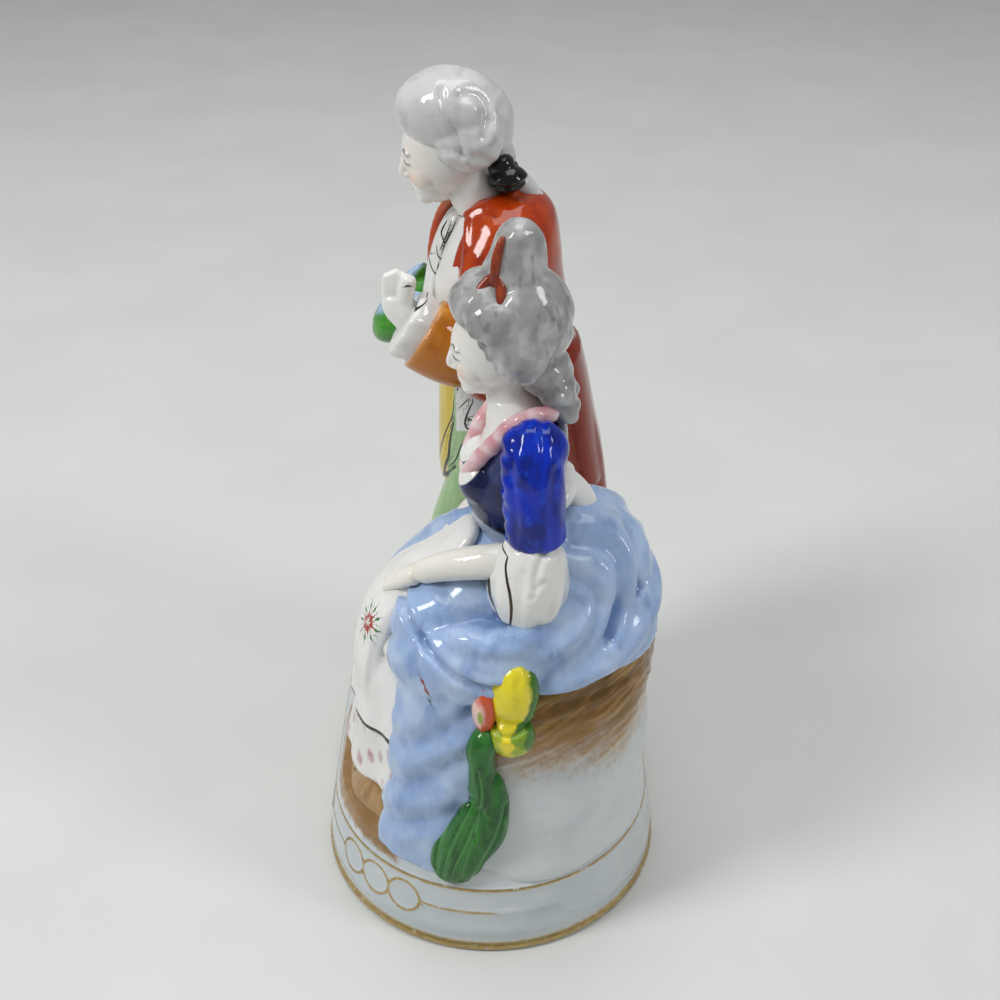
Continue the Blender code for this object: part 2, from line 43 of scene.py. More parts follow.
# Every form is drawn in millimetres in its figure's own place, then moved to where the figure stands
plinthTop = 22.0
gentlemanAt = np.array((-27.0, 0.0, plinthTop))
ladyAt = np.array((18.0, 0.0, plinthTop))
onTable = np.zeros(3)

acrossX = np.array((1.0, 0.0, 0.0))
backY = np.array((0.0, 1.0, 0.0))
upZ = np.array((0.0, 0.0, 1.0))
sideOn = (1, 2)  # painted as seen from the end of the plinth: y and z
frontOn = (0, 2)  # painted as seen from the front: x and z


# Clay forms

def rise(value, low, high):
    # 0 below low, 1 above high, smooth between
    share = np.clip((value - low) / (high - low), 0, 1)
    return share * share * (3 - 2 * share)


def through(stations, share):
    # a smooth curve through the stations
    stations = np.array(stations, float)
    spans = len(stations) - 1
    place = np.clip(share, 0, 1) * spans
    span = np.minimum(place.astype(int), spans - 1)
    t = (place - span)[:, None]
    before, start = stations[np.maximum(span - 1, 0)], stations[span]
    end, after = stations[span + 1], stations[np.minimum(span + 2, spans)]
    bend = 2 * before - 5 * start + 4 * end - after
    twist = 3 * start - before - 3 * end + after
    return 0.5 * (2 * start + (end - before) * t + bend * t ** 2 + twist * t ** 3)


def closing(share, cap):
    # how much of its width a form keeps near its rounded ends
    fromEnd = np.clip(np.minimum(share, 1 - share) / cap, 0, 1)
    return np.sqrt(1 - (1 - fromEnd) ** 2)


blanks = {}


def addForm(clay, place, around, along):
    # a ball whose every point goes where place(share along, angle round) puts it
    if (around, along) not in blanks:
        blank = bmesh.new()
        bmesh.ops.create_uvsphere(blank, u_segments=around, v_segments=along, radius=1.0)
        mesh = bpy.data.meshes.new("blank")
        blank.to_mesh(mesh)
        blank.free()
        ball = pointsOf(mesh)
        share = np.arccos(np.clip(ball[:, 2], -1, 1)) / np.pi
        blanks[around, along] = mesh, share, np.arctan2(ball[:, 0], -ball[:, 1])
    mesh, share, angle = blanks[around, along]
    mesh.vertices.foreach_set("co", place(share, angle).astype(np.float32).ravel())
    clay.from_mesh(mesh)


def pointsOf(mesh):
    points = np.empty(len(mesh.vertices) * 3, np.float32)
    mesh.vertices.foreach_get("co", points)
    return points.reshape(-1, 3).astype(float)


def sweep(clay, stations, side=acrossX, around=32, along=48, cap=0.16, relief=None):
    # a limb, fold, lock or leaf: x, y, z, half-width along side, half-width across it
    def place(share, angle):
        step = 0.5 / along
        here = through(stations, share)
        ahead = through(stations, share + step)[:, :3] - through(stations, share - step)[:, :3]
        ahead /= np.linalg.norm(ahead, axis=1)[:, None]
        across = side - ahead * (ahead @ side)[:, None]
        across /= np.linalg.norm(across, axis=1)[:, None]
        over = np.cross(ahead, across)
        size = closing(share, cap) * (relief(share, angle) if relief else 1.0)
        wide = across * (here[:, 3] * np.sin(angle) * size)[:, None]
        return here[:, :3] + wide - over * (here[:, 4] * np.cos(angle) * size)[:, None]

    addForm(clay, place, around, along)


def limb(clay, stations, **more):
    sweep(clay, [(*s, s[3]) for s in stations], **more)


def stack(clay, stations, around=120, along=90, cap=0.05, relief=None):
    # a body of level rings: x, y, z, half-width, half-depth. Angle 0 faces the front
    def place(share, angle):
        x, y, z, wide, deep = through(stations, share).T
        size = closing(share, cap) * (relief(share, angle) if relief else 1.0)
        return np.column_stack((x + wide * np.sin(angle) * size, y - deep * np.cos(angle) * size, z))

    addForm(clay, place, around, along)


def ball(clay, centre, radii, pitch=0.0, around=32, along=24, relief=None):
    turn = np.array(Matrix.Rotation(math.radians(pitch), 3, "X"))

    def place(share, angle):
        size = relief(share, angle) if relief else 1.0
        ring = np.sin(np.pi * share)
        flat = np.column_stack((ring * np.sin(angle), -ring * np.cos(angle), np.cos(np.pi * share)))
        return np.array(centre) + (flat * np.array(radii) * np.reshape(size, (-1, 1))) @ turn.T

    addForm(clay, place, around, along)


def flutes(count, depth, steady=False, twist=0.0):
    def relief(share, angle):
        return 1 + depth * (1.0 if steady else share) * np.cos(count * angle + twist * share)

    return relief


def mirrored(stations):
    return [stations, [(-s[0], *s[1:]) for s in stations]]


# Casting, tooling and painting

def normalsOf(mesh):
    normals = np.empty(len(mesh.vertices) * 3, np.float32)
    mesh.vertex_normals.foreach_get("vector", normals)
    return normals.reshape(-1, 3).astype(float)


def setPoints(mesh, points):
    mesh.vertices.foreach_set("co", points.astype(np.float32).ravel())
    mesh.update()


def cast(name, clay, grain, soften=3, tooled=None):
    # melts the forms into one skin with a point every grain of a millimetre, then tools its surface
    bmesh.ops.recalc_face_normals(clay, faces=clay.faces[:])
    rough = bpy.data.meshes.new(name)
    clay.to_mesh(rough)
    clay.free()
    thing = bpy.data.objects.new(name, rough)
    bpy.context.scene.collection.objects.link(thing)
    if grain:
        melt = thing.modifiers.new("Melt", "REMESH")
        melt.mode = "VOXEL"
        melt.voxel_size = grain
        smooth = thing.modifiers.new("Soften", "SMOOTH")
        smooth.iterations = soften
        graph = bpy.context.evaluated_depsgraph_get()
        thing.data = bpy.data.meshes.new_from_object(thing.evaluated_get(graph))
        thing.modifiers.clear()
    thing.data.name = name
    if tooled:
        points = pointsOf(thing.data)
        setPoints(thing.data, points + normalsOf(thing.data) * tooled(points)[:, None])
    thing.data.shade_smooth()
    thing["grain"] = grain or 0.6
    return thing


def creases(points, lines, plane=sideOn, near=True):
    # pressed folds: each line is its points, its depth and its half-width, with a soft lip on both sides
    lift = np.zeros(len(points))
    for line, depth, width in lines:
        away = reachOf(points[:, plane], smoothLine(line))[0]
        press = -depth * np.exp(-(away / width) ** 2)
        lip = 0.45 * depth * np.exp(-((away - 1.8 * width) / width) ** 2)
        lift += (press + lip) * (rise(points[:, 0], 0, 4) if near else 1.0)
    return lift


def smoothLine(line, steps=6):
    line = [(*p, 0.0) for p in line]
    return through(line, np.linspace(0, 1, (len(line) - 1) * steps + 1))[:, :2]


def reachOf(flat, line):
    # distance from a drawn line, which side of it a point lies on, and how far along it
    starts, runs = line[:-1], np.diff(line, axis=0)
    lengths = np.maximum(np.linalg.norm(runs, axis=1), 1e-6)
    before = np.concatenate(([0], np.cumsum(lengths)))
    away, side, share = np.full(len(flat), 99.0), np.ones(len(flat)), np.zeros(len(flat))
    near = np.all((flat > line.min(axis=0) - 6) & (flat < line.max(axis=0) + 6), axis=1).nonzero()[0]
    for start, run, length, past in zip(starts, runs, lengths, before):
        offset = flat[near] - start
        t = np.clip(offset @ run / length ** 2, 0, 1)
        gap = np.linalg.norm(offset - t[:, None] * run, axis=1)
        closer = gap < away[near]
        picked = near[closer]
        away[picked] = gap[closer]
        side[picked] = np.where(run[0] * offset[closer, 1] > run[1] * offset[closer, 0], 1.0, -1.0)
        share[picked] = (past + t[closer] * length) / before[-1]
    return away, side, share


def brush(thing, name, points, strokes, plane=sideOn, where=None):
    # brush strokes as one attribute: signed distance in half-widths, distance in mm, share along.
    # Each stroke is its points, its half-width and how much wider it ends than it starts
    drawn = np.full((len(points), 3), 9.0)
    for line, width, swell in strokes:
        away, side, share = reachOf(points[:, plane], smoothLine(line))
        half = width * (
            0.2 + 0.8 * np.sin(np.pi * np.clip(share, 0.02, 0.98)) ** 0.5
        ) * (1 + swell * (share - 0.5))
        closer = away < drawn[:, 1]
        drawn[closer, 0] = (side * away / half)[closer]
        drawn[closer, 1], drawn[closer, 2] = away[closer], share[closer]
    if where is not None:
        drawn[~where] = 9.0
    thing.data.attributes.new(name, "FLOAT_VECTOR", "POINT").data.foreach_set("vector", drawn.ravel())


def mark(thing, name, values):
    # one number a point: millimetres inside a painted area, or how strong a wash is
    thing.data.attributes.new(name, "FLOAT", "POINT").data.foreach_set("value", values)


def markCrests(thing, points, spread=1.2):
    # how sharply the surface bends outwards: glaze thins on crests and pools in hollows, and the glazes also
    # use it to put painted highlights on crests and painted shade in hollows
    edges = np.empty(len(thing.data.edges) * 2, np.int32)
    thing.data.edges.foreach_get("vertices", edges)
    a, b = edges.reshape(-1, 2).T
    count = len(points)
    ties = np.maximum(np.bincount(a, minlength=count) + np.bincount(b, minlength=count), 1)
    gap = np.mean(np.linalg.norm(points[a] - points[b], axis=1))

    def blurred(values):
        return (np.bincount(a, values[b], count) + np.bincount(b, values[a], count)) / ties

    pull = points - np.column_stack([blurred(points[:, i]) for i in range(3)])
    crest = np.einsum("ij,ij->i", pull, normalsOf(thing.data)) * 4 / gap ** 2
    for _ in range(min(30, int((spread / gap) ** 2 * 2) + 2)):
        crest = blurred(crest)
    mark(thing, "crest", np.clip(crest, -2, 2))


def fire(thing, at, material):
    # the piece in its place on the group, in metres, with its glaze
    points = pointsOf(thing.data)
    markCrests(thing, points)
    setPoints(thing.data, (points + at) / 1000)
    thing.data.materials.clear()
    thing.data.materials.append(material)
    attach(thing, "root")
    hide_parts(couple)
    del thing["grain"]
    return thing


# Glazes and enamels

def linear(hexColour):
    # sRGB hex to linear colour
    parts = [int(hexColour[i:i + 2], 16) / 255 for i in (1, 3, 5)]
    return (*[c / 12.92 if c <= 0.04045 else ((c + 0.055) / 1.055) ** 2.4 for c in parts], 1.0)


def add(tree, kind, inputs=None, **settings):
    made = tree.nodes.new(kind)
    for key, value in settings.items():
        setattr(made, key, value)
    for key, value in (inputs or {}).items():
        if isinstance(value, bpy.types.NodeSocket):
            tree.links.new(value, made.inputs[key])
        else:
            made.inputs[key].default_value = value
    return made


def clouds(tree, place, size, detail=3.0, warp=0.0, slope=0.0):
    # a cloudy pattern with patches of this size in mm along x, y and z, rising slope degrees to the back
    sized = add(tree, "ShaderNodeMapping", {
        "Vector": place, "Scale": [s / 1000 for s in size], "Rotation": (math.radians(slope), 0, 0),
    }, vector_type="TEXTURE")
    return add(tree, "ShaderNodeTexNoise", {
        "Vector": sized.outputs[0], "Scale": 1.0, "Detail": detail, "Distortion": warp,
    }).outputs["Fac"]


def ramp(tree, value, low, high, top=1.0):
    return add(tree, "ShaderNodeMapRange", {
        "Value": value, "From Min": low, "From Max": high, "To Max": top,
    }, interpolation_type="SMOOTHSTEP").outputs[0]


def over(tree, mask, under, colour):
    return add(tree, "ShaderNodeMix", {0: mask, 6: under, 7: colour}, data_type="RGBA").outputs[2]


def times(tree, a, b):
    return add(tree, "ShaderNodeMath", {0: a, 1: b}, operation="MULTIPLY").outputs[0]


def glazed(name, colour, washes=(), poolsAndShade=("#000000", 0.0), thinAndHighlight=("#f4f4f0", 0.0), areas=(), strokes=(),
           gilt=(), specks=0.5, rough=0.07, ripple=0.02):
    # Porcelain under a clear glaze, with overglaze enamels: smooth as glass, a little uneven in thickness.
    # washes: colour, patch size in mm, from, to, amount
    # areas: attribute, colour, soft and wobbly edge in mm, amount, patch size of its streaks
    # strokes: attribute, colour, softness. gilt: attribute
    material = bpy.data.materials.new(name)
    material.use_nodes = True
    tree = material.node_tree
    shader = tree.nodes["Principled BSDF"]
    place = add(tree, "ShaderNodeTexCoord").outputs["Object"]
    shade = linear(colour)
    for washColour, size, low, high, amount in washes:
        shade = over(
            tree, ramp(tree, clouds(tree, place, size), low, high, amount), shade, linear(washColour)
        )
    crest = add(tree, "ShaderNodeAttribute", attribute_name="crest").outputs["Fac"]
    # hollows take a darker colour and crests a paler one: partly glaze pooling and thinning, partly painted
    # shade and painted highlight
    if poolsAndShade[1]:
        shade = over(tree, ramp(tree, crest, -0.02, -0.5, poolsAndShade[1]), shade, linear(poolsAndShade[0]))
    if thinAndHighlight[1]:
        shade = over(tree, ramp(tree, crest, 0.35, 1.1, thinAndHighlight[1]), shade, linear(thinAndHighlight[0]))
    for attribute, areaColour, soft, wobble, amount, size in areas:
        inside = add(tree, "ShaderNodeAttribute", attribute_name=attribute).outputs["Fac"]
        edge = add(tree, "ShaderNodeMath", {
            0: clouds(tree, place, (1.6, 1.6, 1.6)), 1: 2 * wobble, 2: -wobble,
        }, operation="MULTIPLY_ADD").outputs[0]
        moved = add(tree, "ShaderNodeMath", {0: inside, 1: edge}, operation="ADD").outputs[0]
        mask = ramp(tree, moved, -soft, soft, amount)
        if size:
            mask = times(
                tree, mask, ramp(tree, clouds(tree, place, size[:3], 4.0, 0.4, *size[3:]), 0.25, 0.62)
            )
        shade = over(tree, mask, shade, linear(areaColour))
    for attribute, strokeColour, softness in strokes:
        shade = over(tree, strokeMask(tree, attribute, softness, place), shade, linear(strokeColour))
    if specks:
        dots = ramp(tree, clouds(tree, place, (0.55, 0.55, 0.55), 1.0), 0.80, 0.84, specks)
        shade = over(tree, dots, shade, linear("#3a3128"))
    metal = None
    for attribute in gilt:
        mask = strokeMask(tree, attribute, 0.5, place, worn=0.36)
        gold = over(tree, clouds(tree, place, (1.5, 1.5, 0.8)), linear("#86693a"), linear("#d9bf80"))
        shade = over(tree, mask, shade, gold)
        metal = mask if metal is None else add(
            tree, "ShaderNodeMath", {0: metal, 1: mask}, operation="MAXIMUM"
        ).outputs[0]
    if isinstance(shade, tuple):
        shader.inputs["Base Color"].default_value = shade
    else:
        tree.links.new(shade, shader.inputs["Base Color"])
    # kept low, so that a pale room does not grey the dark enamels
    shader.inputs["Specular IOR Level"].default_value = 0.32
    if metal:
        tree.links.new(times(tree, metal, 0.85), shader.inputs["Metallic"])
    uneven = ramp(tree, clouds(tree, place, (6, 6, 6)), 0.3, 0.7, 0.06)
    glossy = add(tree, "ShaderNodeMath", {0: uneven, 1: rough}, operation="ADD").outputs[0]
    if metal:
        glossy = add(
            tree, "ShaderNodeMath", {0: times(tree, metal, 0.2), 1: glossy}, operation="ADD"
        ).outputs[0]
    tree.links.new(glossy, shader.inputs["Roughness"])
    shader.inputs["IOR"].default_value = 1.5
    shader.inputs["Coat Weight"].default_value = 0.3
    shader.inputs["Coat Roughness"].default_value = 0.03
    bump = add(tree, "ShaderNodeBump", {
        "Height": clouds(tree, place, (3.2, 3.2, 3.2), 2.0), "Strength": 1.0, "Distance": ripple / 1000 * 4,
    })
    tree.links.new(bump.outputs[0], shader.inputs["Normal"])
    return material


def strokeMask(tree, attribute, softness, place, worn=0.0):
    drawn = add(tree, "ShaderNodeAttribute", attribute_name=attribute).outputs["Vector"]
    parts = add(tree, "ShaderNodeSeparateXYZ", {0: drawn}).outputs
    reach = add(tree, "ShaderNodeMath", {0: parts[0]}, operation="ABSOLUTE").outputs[0]
    mask = ramp(tree, reach, 1 + softness, 1 - softness)
    mask = times(tree, mask, ramp(tree, parts[1], 1.5, 1.2))
    if worn:
        mask = times(
            tree, mask, ramp(tree, clouds(tree, place, (2.4, 2.4, 1.2), 4.0), worn - 0.1, worn + 0.08)
        )
    return mask


# Plinth

plinth = {
    "length": 112.0, "depth": 78.4, "height": plinthTop, "bandHeight": 16.8, "wallLean": 3.0, "step": 0.8,
    "bead": 0.7, "footRing": 5.5, "footHollow": 2.5,
    "motifHeight": 10.9, "ovalReach": (3.8, 4.2), "ovalPlaces": (20.4, 28.8, 37.2), "lineRelief": 0.32,
    "lineWidth": 0.42, "footLine": 1.5,
    "motifGold": 0.32, "bandGold": 0.34, "footGold": 1.1,  # half-widths of the gold
    "porcelain": "#cbd1d2", "coolTint": "#bcc6cb", "biscuit": "#d9d2c6",
}


def makePlinth():
    half, straight = plinth["depth"] / 2, (plinth["length"] - plinth["depth"]) / 2
    top, band, lean = plinth["height"], plinth["bandHeight"], plinth["wallLean"]
    shoulder = half - lean - plinth["step"]
    ring = half - plinth["footRing"]
    outline = [
        (top + 0.9, 0.2), (top + 0.9, shoulder * 0.45), (top + 0.6, shoulder * 0.86),
        (top - 0.4, shoulder - 1.0), (top - 1.6, shoulder - 0.1), (band + 3.2, shoulder),
        (band + 1.0, half - lean), (band, half - lean + plinth["bead"]), (band - 1.4, half - lean * 0.8),
        (band * 0.72, half - lean * 0.58), (band * 0.5, half - lean * 0.4),
        (band * 0.33, half - lean * 0.2), (3.0, half - plinth["bead"]), (1.4, half), (0.4, half - 0.2),
        (0.0, half - 1.2), (0.0, ring + 1.2), (0.5, ring + 0.2), (plinth["footHollow"], ring - 1.5),
        (plinth["footHollow"], 0.2),
    ]

    def place(share, angle):
        z, reach = through(outline, share).T
        flat = straight * np.minimum(1, reach / ring)
        # along the rim, from the middle of the front
        around = angle / (2 * np.pi) * (2 * np.pi * reach + 4 * flat)
        side, run = np.sign(around), np.abs(around)
        bend = np.clip((run - flat) / np.maximum(reach, 1e-6), 0, np.pi)
        x = np.where(run < flat, run, flat + reach * np.sin(bend))
        past = run - flat - np.pi * reach
        x = np.where(past > 0, flat - past, x)
        return np.column_stack((x * side, -reach * np.cos(bend), z))

    clay = bmesh.new()
    addForm(clay, place, 480, 100)
    thing = cast("plinth", clay, None)
    points = pointsOf(thing.data)
    # how far along the rim from the tip of each end, forward negative
    end = np.maximum(np.abs(points[:, 0]) - straight, 0)
    turn = np.arctan2(points[:, 1], np.maximum(end, 1e-6)) * (half - 1)
    along = np.where(np.abs(points[:, 0]) > straight, turn, np.sign(points[:, 1]) * (
        (half - 1) * np.pi / 2 + straight - np.abs(points[:, 0])))
    tall, wide = plinth["ovalReach"]
    level = points[:, 2] - plinth["motifHeight"]
    frontMiddle = (half - 1) * np.pi / 2 + straight
    places = [*plinth["ovalPlaces"], frontMiddle, frontMiddle - 2 * wide, frontMiddle - 4 * wide]
    insideAny = np.zeros(len(points), bool)
    rings = []
    for centre in places:
        far = np.hypot((np.abs(along) - centre) / wide, level / tall)
        rings.append((far - 1) * (wide + tall) / 2)
        insideAny |= far < 1
    signed = np.where(insideAny, 9.0, level)  # the straight line stops at the rings
    for ringLine in rings:
        closer = np.abs(ringLine) < np.abs(signed)
        signed = np.where(closer, ringLine, signed)
    wall = (points[:, 2] > 1.0) & (points[:, 2] < band) & (np.hypot(end, points[:, 1]) > ring)
    signed = np.where(wall, signed, 9.0)
    setPoints(thing.data, points + normalsOf(thing.data) * (
        plinth["lineRelief"] * np.exp(-(signed / plinth["lineWidth"]) ** 2))[:, None])
    gilded = rise(points[:, 1] + 0.12 * np.abs(points[:, 0] - 50), 3.5, -0.5)
    drawn = np.full((len(points), 3), 9.0)
    drawn[:, 0] = np.where(gilded > 0.05, signed / (plinth["motifGold"] * np.maximum(gilded, 0.1)), 9.0)
    drawn[:, 1] = np.abs(signed)
    thing.data.attributes.new("motifGold", "FLOAT_VECTOR", "POINT").data.foreach_set("vector", drawn.ravel())
    for name, height in (("bandGold", band), ("footGold", plinth["footLine"])):
        drawn = np.full((len(points), 3), 9.0)
        outer = np.hypot(end, points[:, 1]) > ring
        offset = points[:, 2] - height
        drawn[outer, 0] = offset[outer] / plinth[name]
        drawn[outer, 1] = np.minimum(np.abs(offset[outer]), 1.0)
        thing.data.attributes.new(name, "FLOAT_VECTOR", "POINT").data.foreach_set("vector", drawn.ravel())
    mark(thing, "biscuit", rise(points[:, 2], 0.55, 0.15) * 2 - 1)
    x, y, z = points.T
    mark(thing, "groundBrown", np.minimum.reduce((-19.5 - y, z - 18.4, 46 - x, x + 2)))
    material = glazed(
        "Porcelain, clear glazed, cast plinth", plinth["porcelain"],
        washes=[
            (plinth["coolTint"], (22, 22, 12), 0.35, 0.7, 0.7), ("#dadddb", (12, 12, 8), 0.5, 0.75, 0.6)
        ],
        poolsAndShade=("#aab4ba", 0.5),
        areas=[
            ("groundBrown", "#a27c48", 0.9, 1.2, 0.9, None),
            ("groundBrown", "#866335", 1.2, 1.2, 0.7, (5, 5, 5)),
            ("biscuit", plinth["biscuit"], 0.4, 0.1, 0.8, None)
        ],
        gilt=("motifGold", "bandGold", "footGold"), specks=0.55
    )
    fire(thing, onTable, material)


# Rock, and the tree stump that holds the gentleman up

rock = {
    "strata": 0.55, "strataTall": 3.1, "white": "#d2d6d6", "brown": "#976a2c", "darkBrown": "#533616",
    "straw": "#bd954f",
}


def ledges(share, angle):
    strata = np.sin(22 * share + 1.5 * np.sin(2 * angle))
    return 1 + 0.018 * strata + 0.012 * np.sin(7 * angle + 8 * share)


def rockTooling(points):
    x, y, z = points.T
    turn = np.arctan2(x, -y)
    wave = z + 1.4 * np.sin(2 * turn + 0.6) + 0.8 * np.sin(5 * turn + 0.11 * z) + 0.3 * np.sin(11 * turn)
    ridge = np.sin(2 * np.pi * wave / rock["strataTall"]) + 0.5 * np.sin(
        2 * np.pi * wave / 1.7 + 3 * np.sin(3 * turn)
    )
    dimples = np.sin(0.9 * x + 2 * np.sin(0.31 * z)) * np.sin(0.8 * y + 1.3) * 0.25
    return rock["strata"] * (0.28 * ridge + dimples) * (0.25 + 0.75 * rise(z, 22, 32))


def makeRock():
    clay = bmesh.new()
    seat = [
        (-2, 8, 52, 10, 12), (-2, 7, 45, 22.5, 27), (-1.6, 5.4, 38.5, 26.6, 31), (-0.6, 4.4, 29, 28.4, 31.2),
        (0.6, 4.4, 19, 29.8, 31.2), (1.4, 4.2, 9, 31, 30.6), (2, 4.2, 1, 31.8, 31.2), (2, 4.2, -6, 32, 31.4),
    ]
    stack(clay, seat, relief=ledges)
    thing = cast("rock", clay, 0.9, 4, rockTooling)
    points = pointsOf(thing.data)
    x, y, z = points.T
    turn = np.arctan2(x, -y)
    lower = np.interp(y, [-30, 4, 14, 23, 31, 36], [20, 25, 23, 24, 22, 20]) + 1.2 * np.sin(7 * turn)
    mark(thing, "brushedBrown", (z - lower) / 2)
    # topBrown: the upper band of brown, darkest near the top under the skirt's edge: brushed paint, and
    # partly painted shade there
    mark(thing, "topBrown", (z - lower - 8) / 2)
    mark(thing, "frontBrown", np.minimum(np.minimum(-y - 20.5, 17.5 - z - 0.35 * (y + 30)), 6 - 0 * x))
    material = glazed(
        "Porcelain, clear glazed, brushed brown rock", rock["white"],
        washes=[("#c2cace", (18, 18, 14), 0.4, 0.7, 0.6)], poolsAndShade=("#aeb6ba", 0.35),
        areas=[
            ("brushedBrown", rock["straw"], 2.6, 1.6, 0.85, (16, 16, 3.0, 22)),
            ("brushedBrown", rock["brown"], 3.6, 2.0, 0.9, (14, 14, 1.6, 22)),
            ("topBrown", rock["straw"], 3.4, 1.6, 0.95, None),
            ("topBrown", rock["brown"], 3.4, 1.6, 0.9, (9, 9, 2.0, 22)),
            ("topBrown", rock["darkBrown"], 4.4, 1.6, 0.8, (12, 12, 1.4, 22)),
            ("frontBrown", "#94703f", 1.6, 1.4, 0.95, (7, 7, 7)),
            ("frontBrown", "#70502b", 2.5, 1.8, 0.6, (2.5, 2.5, 2.5))],
        specks=0.6, ripple=0.03)
    fire(thing, ladyAt, material)

    clay = bmesh.new()
    saddle = [
        (-23, 8, 66, 7, 8), (-23, 8, 58, 10, 12), (-23, 8, 42, 11, 15), (-23, 8, 22, 12, 17),
        (-23, 7, 2, 13, 21), (-23, 7, -6, 13, 21),
    ]
    stack(clay, saddle, relief=ledges)
    stump = [(-45, 8, 46, 9, 9), (-45, 8, 30, 13, 11), (-45, 7, 12, 15, 13), (-45, 6, -3, 18, 17)]
    stack(clay, stump, relief=flutes(5, 0.05, True, 9))
    thing = cast(
        "tree_stump", clay, 1.0, 4,
        lambda p: 0.25 * np.sin(2.1 * np.arctan2(p[:, 0] + 34, p[:, 1]) * 7 + 0.2 * p[:, 2])
    )
    points = pointsOf(thing.data)
    mark(thing, "barkBrown", 3.0 - 0.12 * (16 - points[:, 2]) * (points[:, 2] < 16) * 4)
    material = glazed(
        "Porcelain, clear glazed, brown tree stump", rock["white"], poolsAndShade=("#5d3d1e", 0.5),
        areas=[
            ("barkBrown", rock["straw"], 3, 2, 0.9, (2.2, 2.2, 9)),
            ("barkBrown", rock["brown"], 3, 2, 0.8, (1.4, 1.4, 8))
        ],
        ripple=0.03
    )
    fire(thing, ladyAt, material)


# Gentleman: coat

# deep is also the painted shade in the coat's hollows and over its lower back; thin is the colour on its
# crests, thin enamel and painted highlight
coat = {
    "orange": "#a93408", "flame": "#c44c12", "deep": "#7b2006", "thin": "#dba078", "cuffs": "#c0761c",
    "cuffDeep": "#a05a12", "cuffLight": "#d99a40", "pleats": 0.03, "lining": "#e9e4dc",
}


def coatOpening(share, angle):
    # lies over the waistcoat, parts in front and swings back towards the hem
    fromFront = np.abs(np.degrees(angle))
    parting = np.where(angle > 0, 47, 26) + 8 * rise(share, 0.08, 0.3) + 70 * rise(share, 0.45, 1.0)
    inner = 0.88 - 0.66 * rise(share, 0.58, 0.85)
    covered = rise(fromFront, parting - 3, parting + 3)
    pleat = coat["pleats"] * rise(share, 0.55, 0.8) * np.cos(np.radians(fromFront) * 9)
    vent = -0.05 * rise(share, 0.5, 0.6) * np.exp(-((fromFront - 180) / 2.5) ** 2)
    return inner + (1 - inner) * covered + (pleat + vent) * covered


armRun = {
    1: ((15.5, 3, 112.5), (20.5, 1, 88.8), (19.2, -14.6, 98.6), (19, -18.2, 100.9)),
    -1: ((-15.5, 3, 112.5), (-20.5, 2, 88), (-14.6, -12.4, 88.6), (-12.8, -15.8, 89)),
}


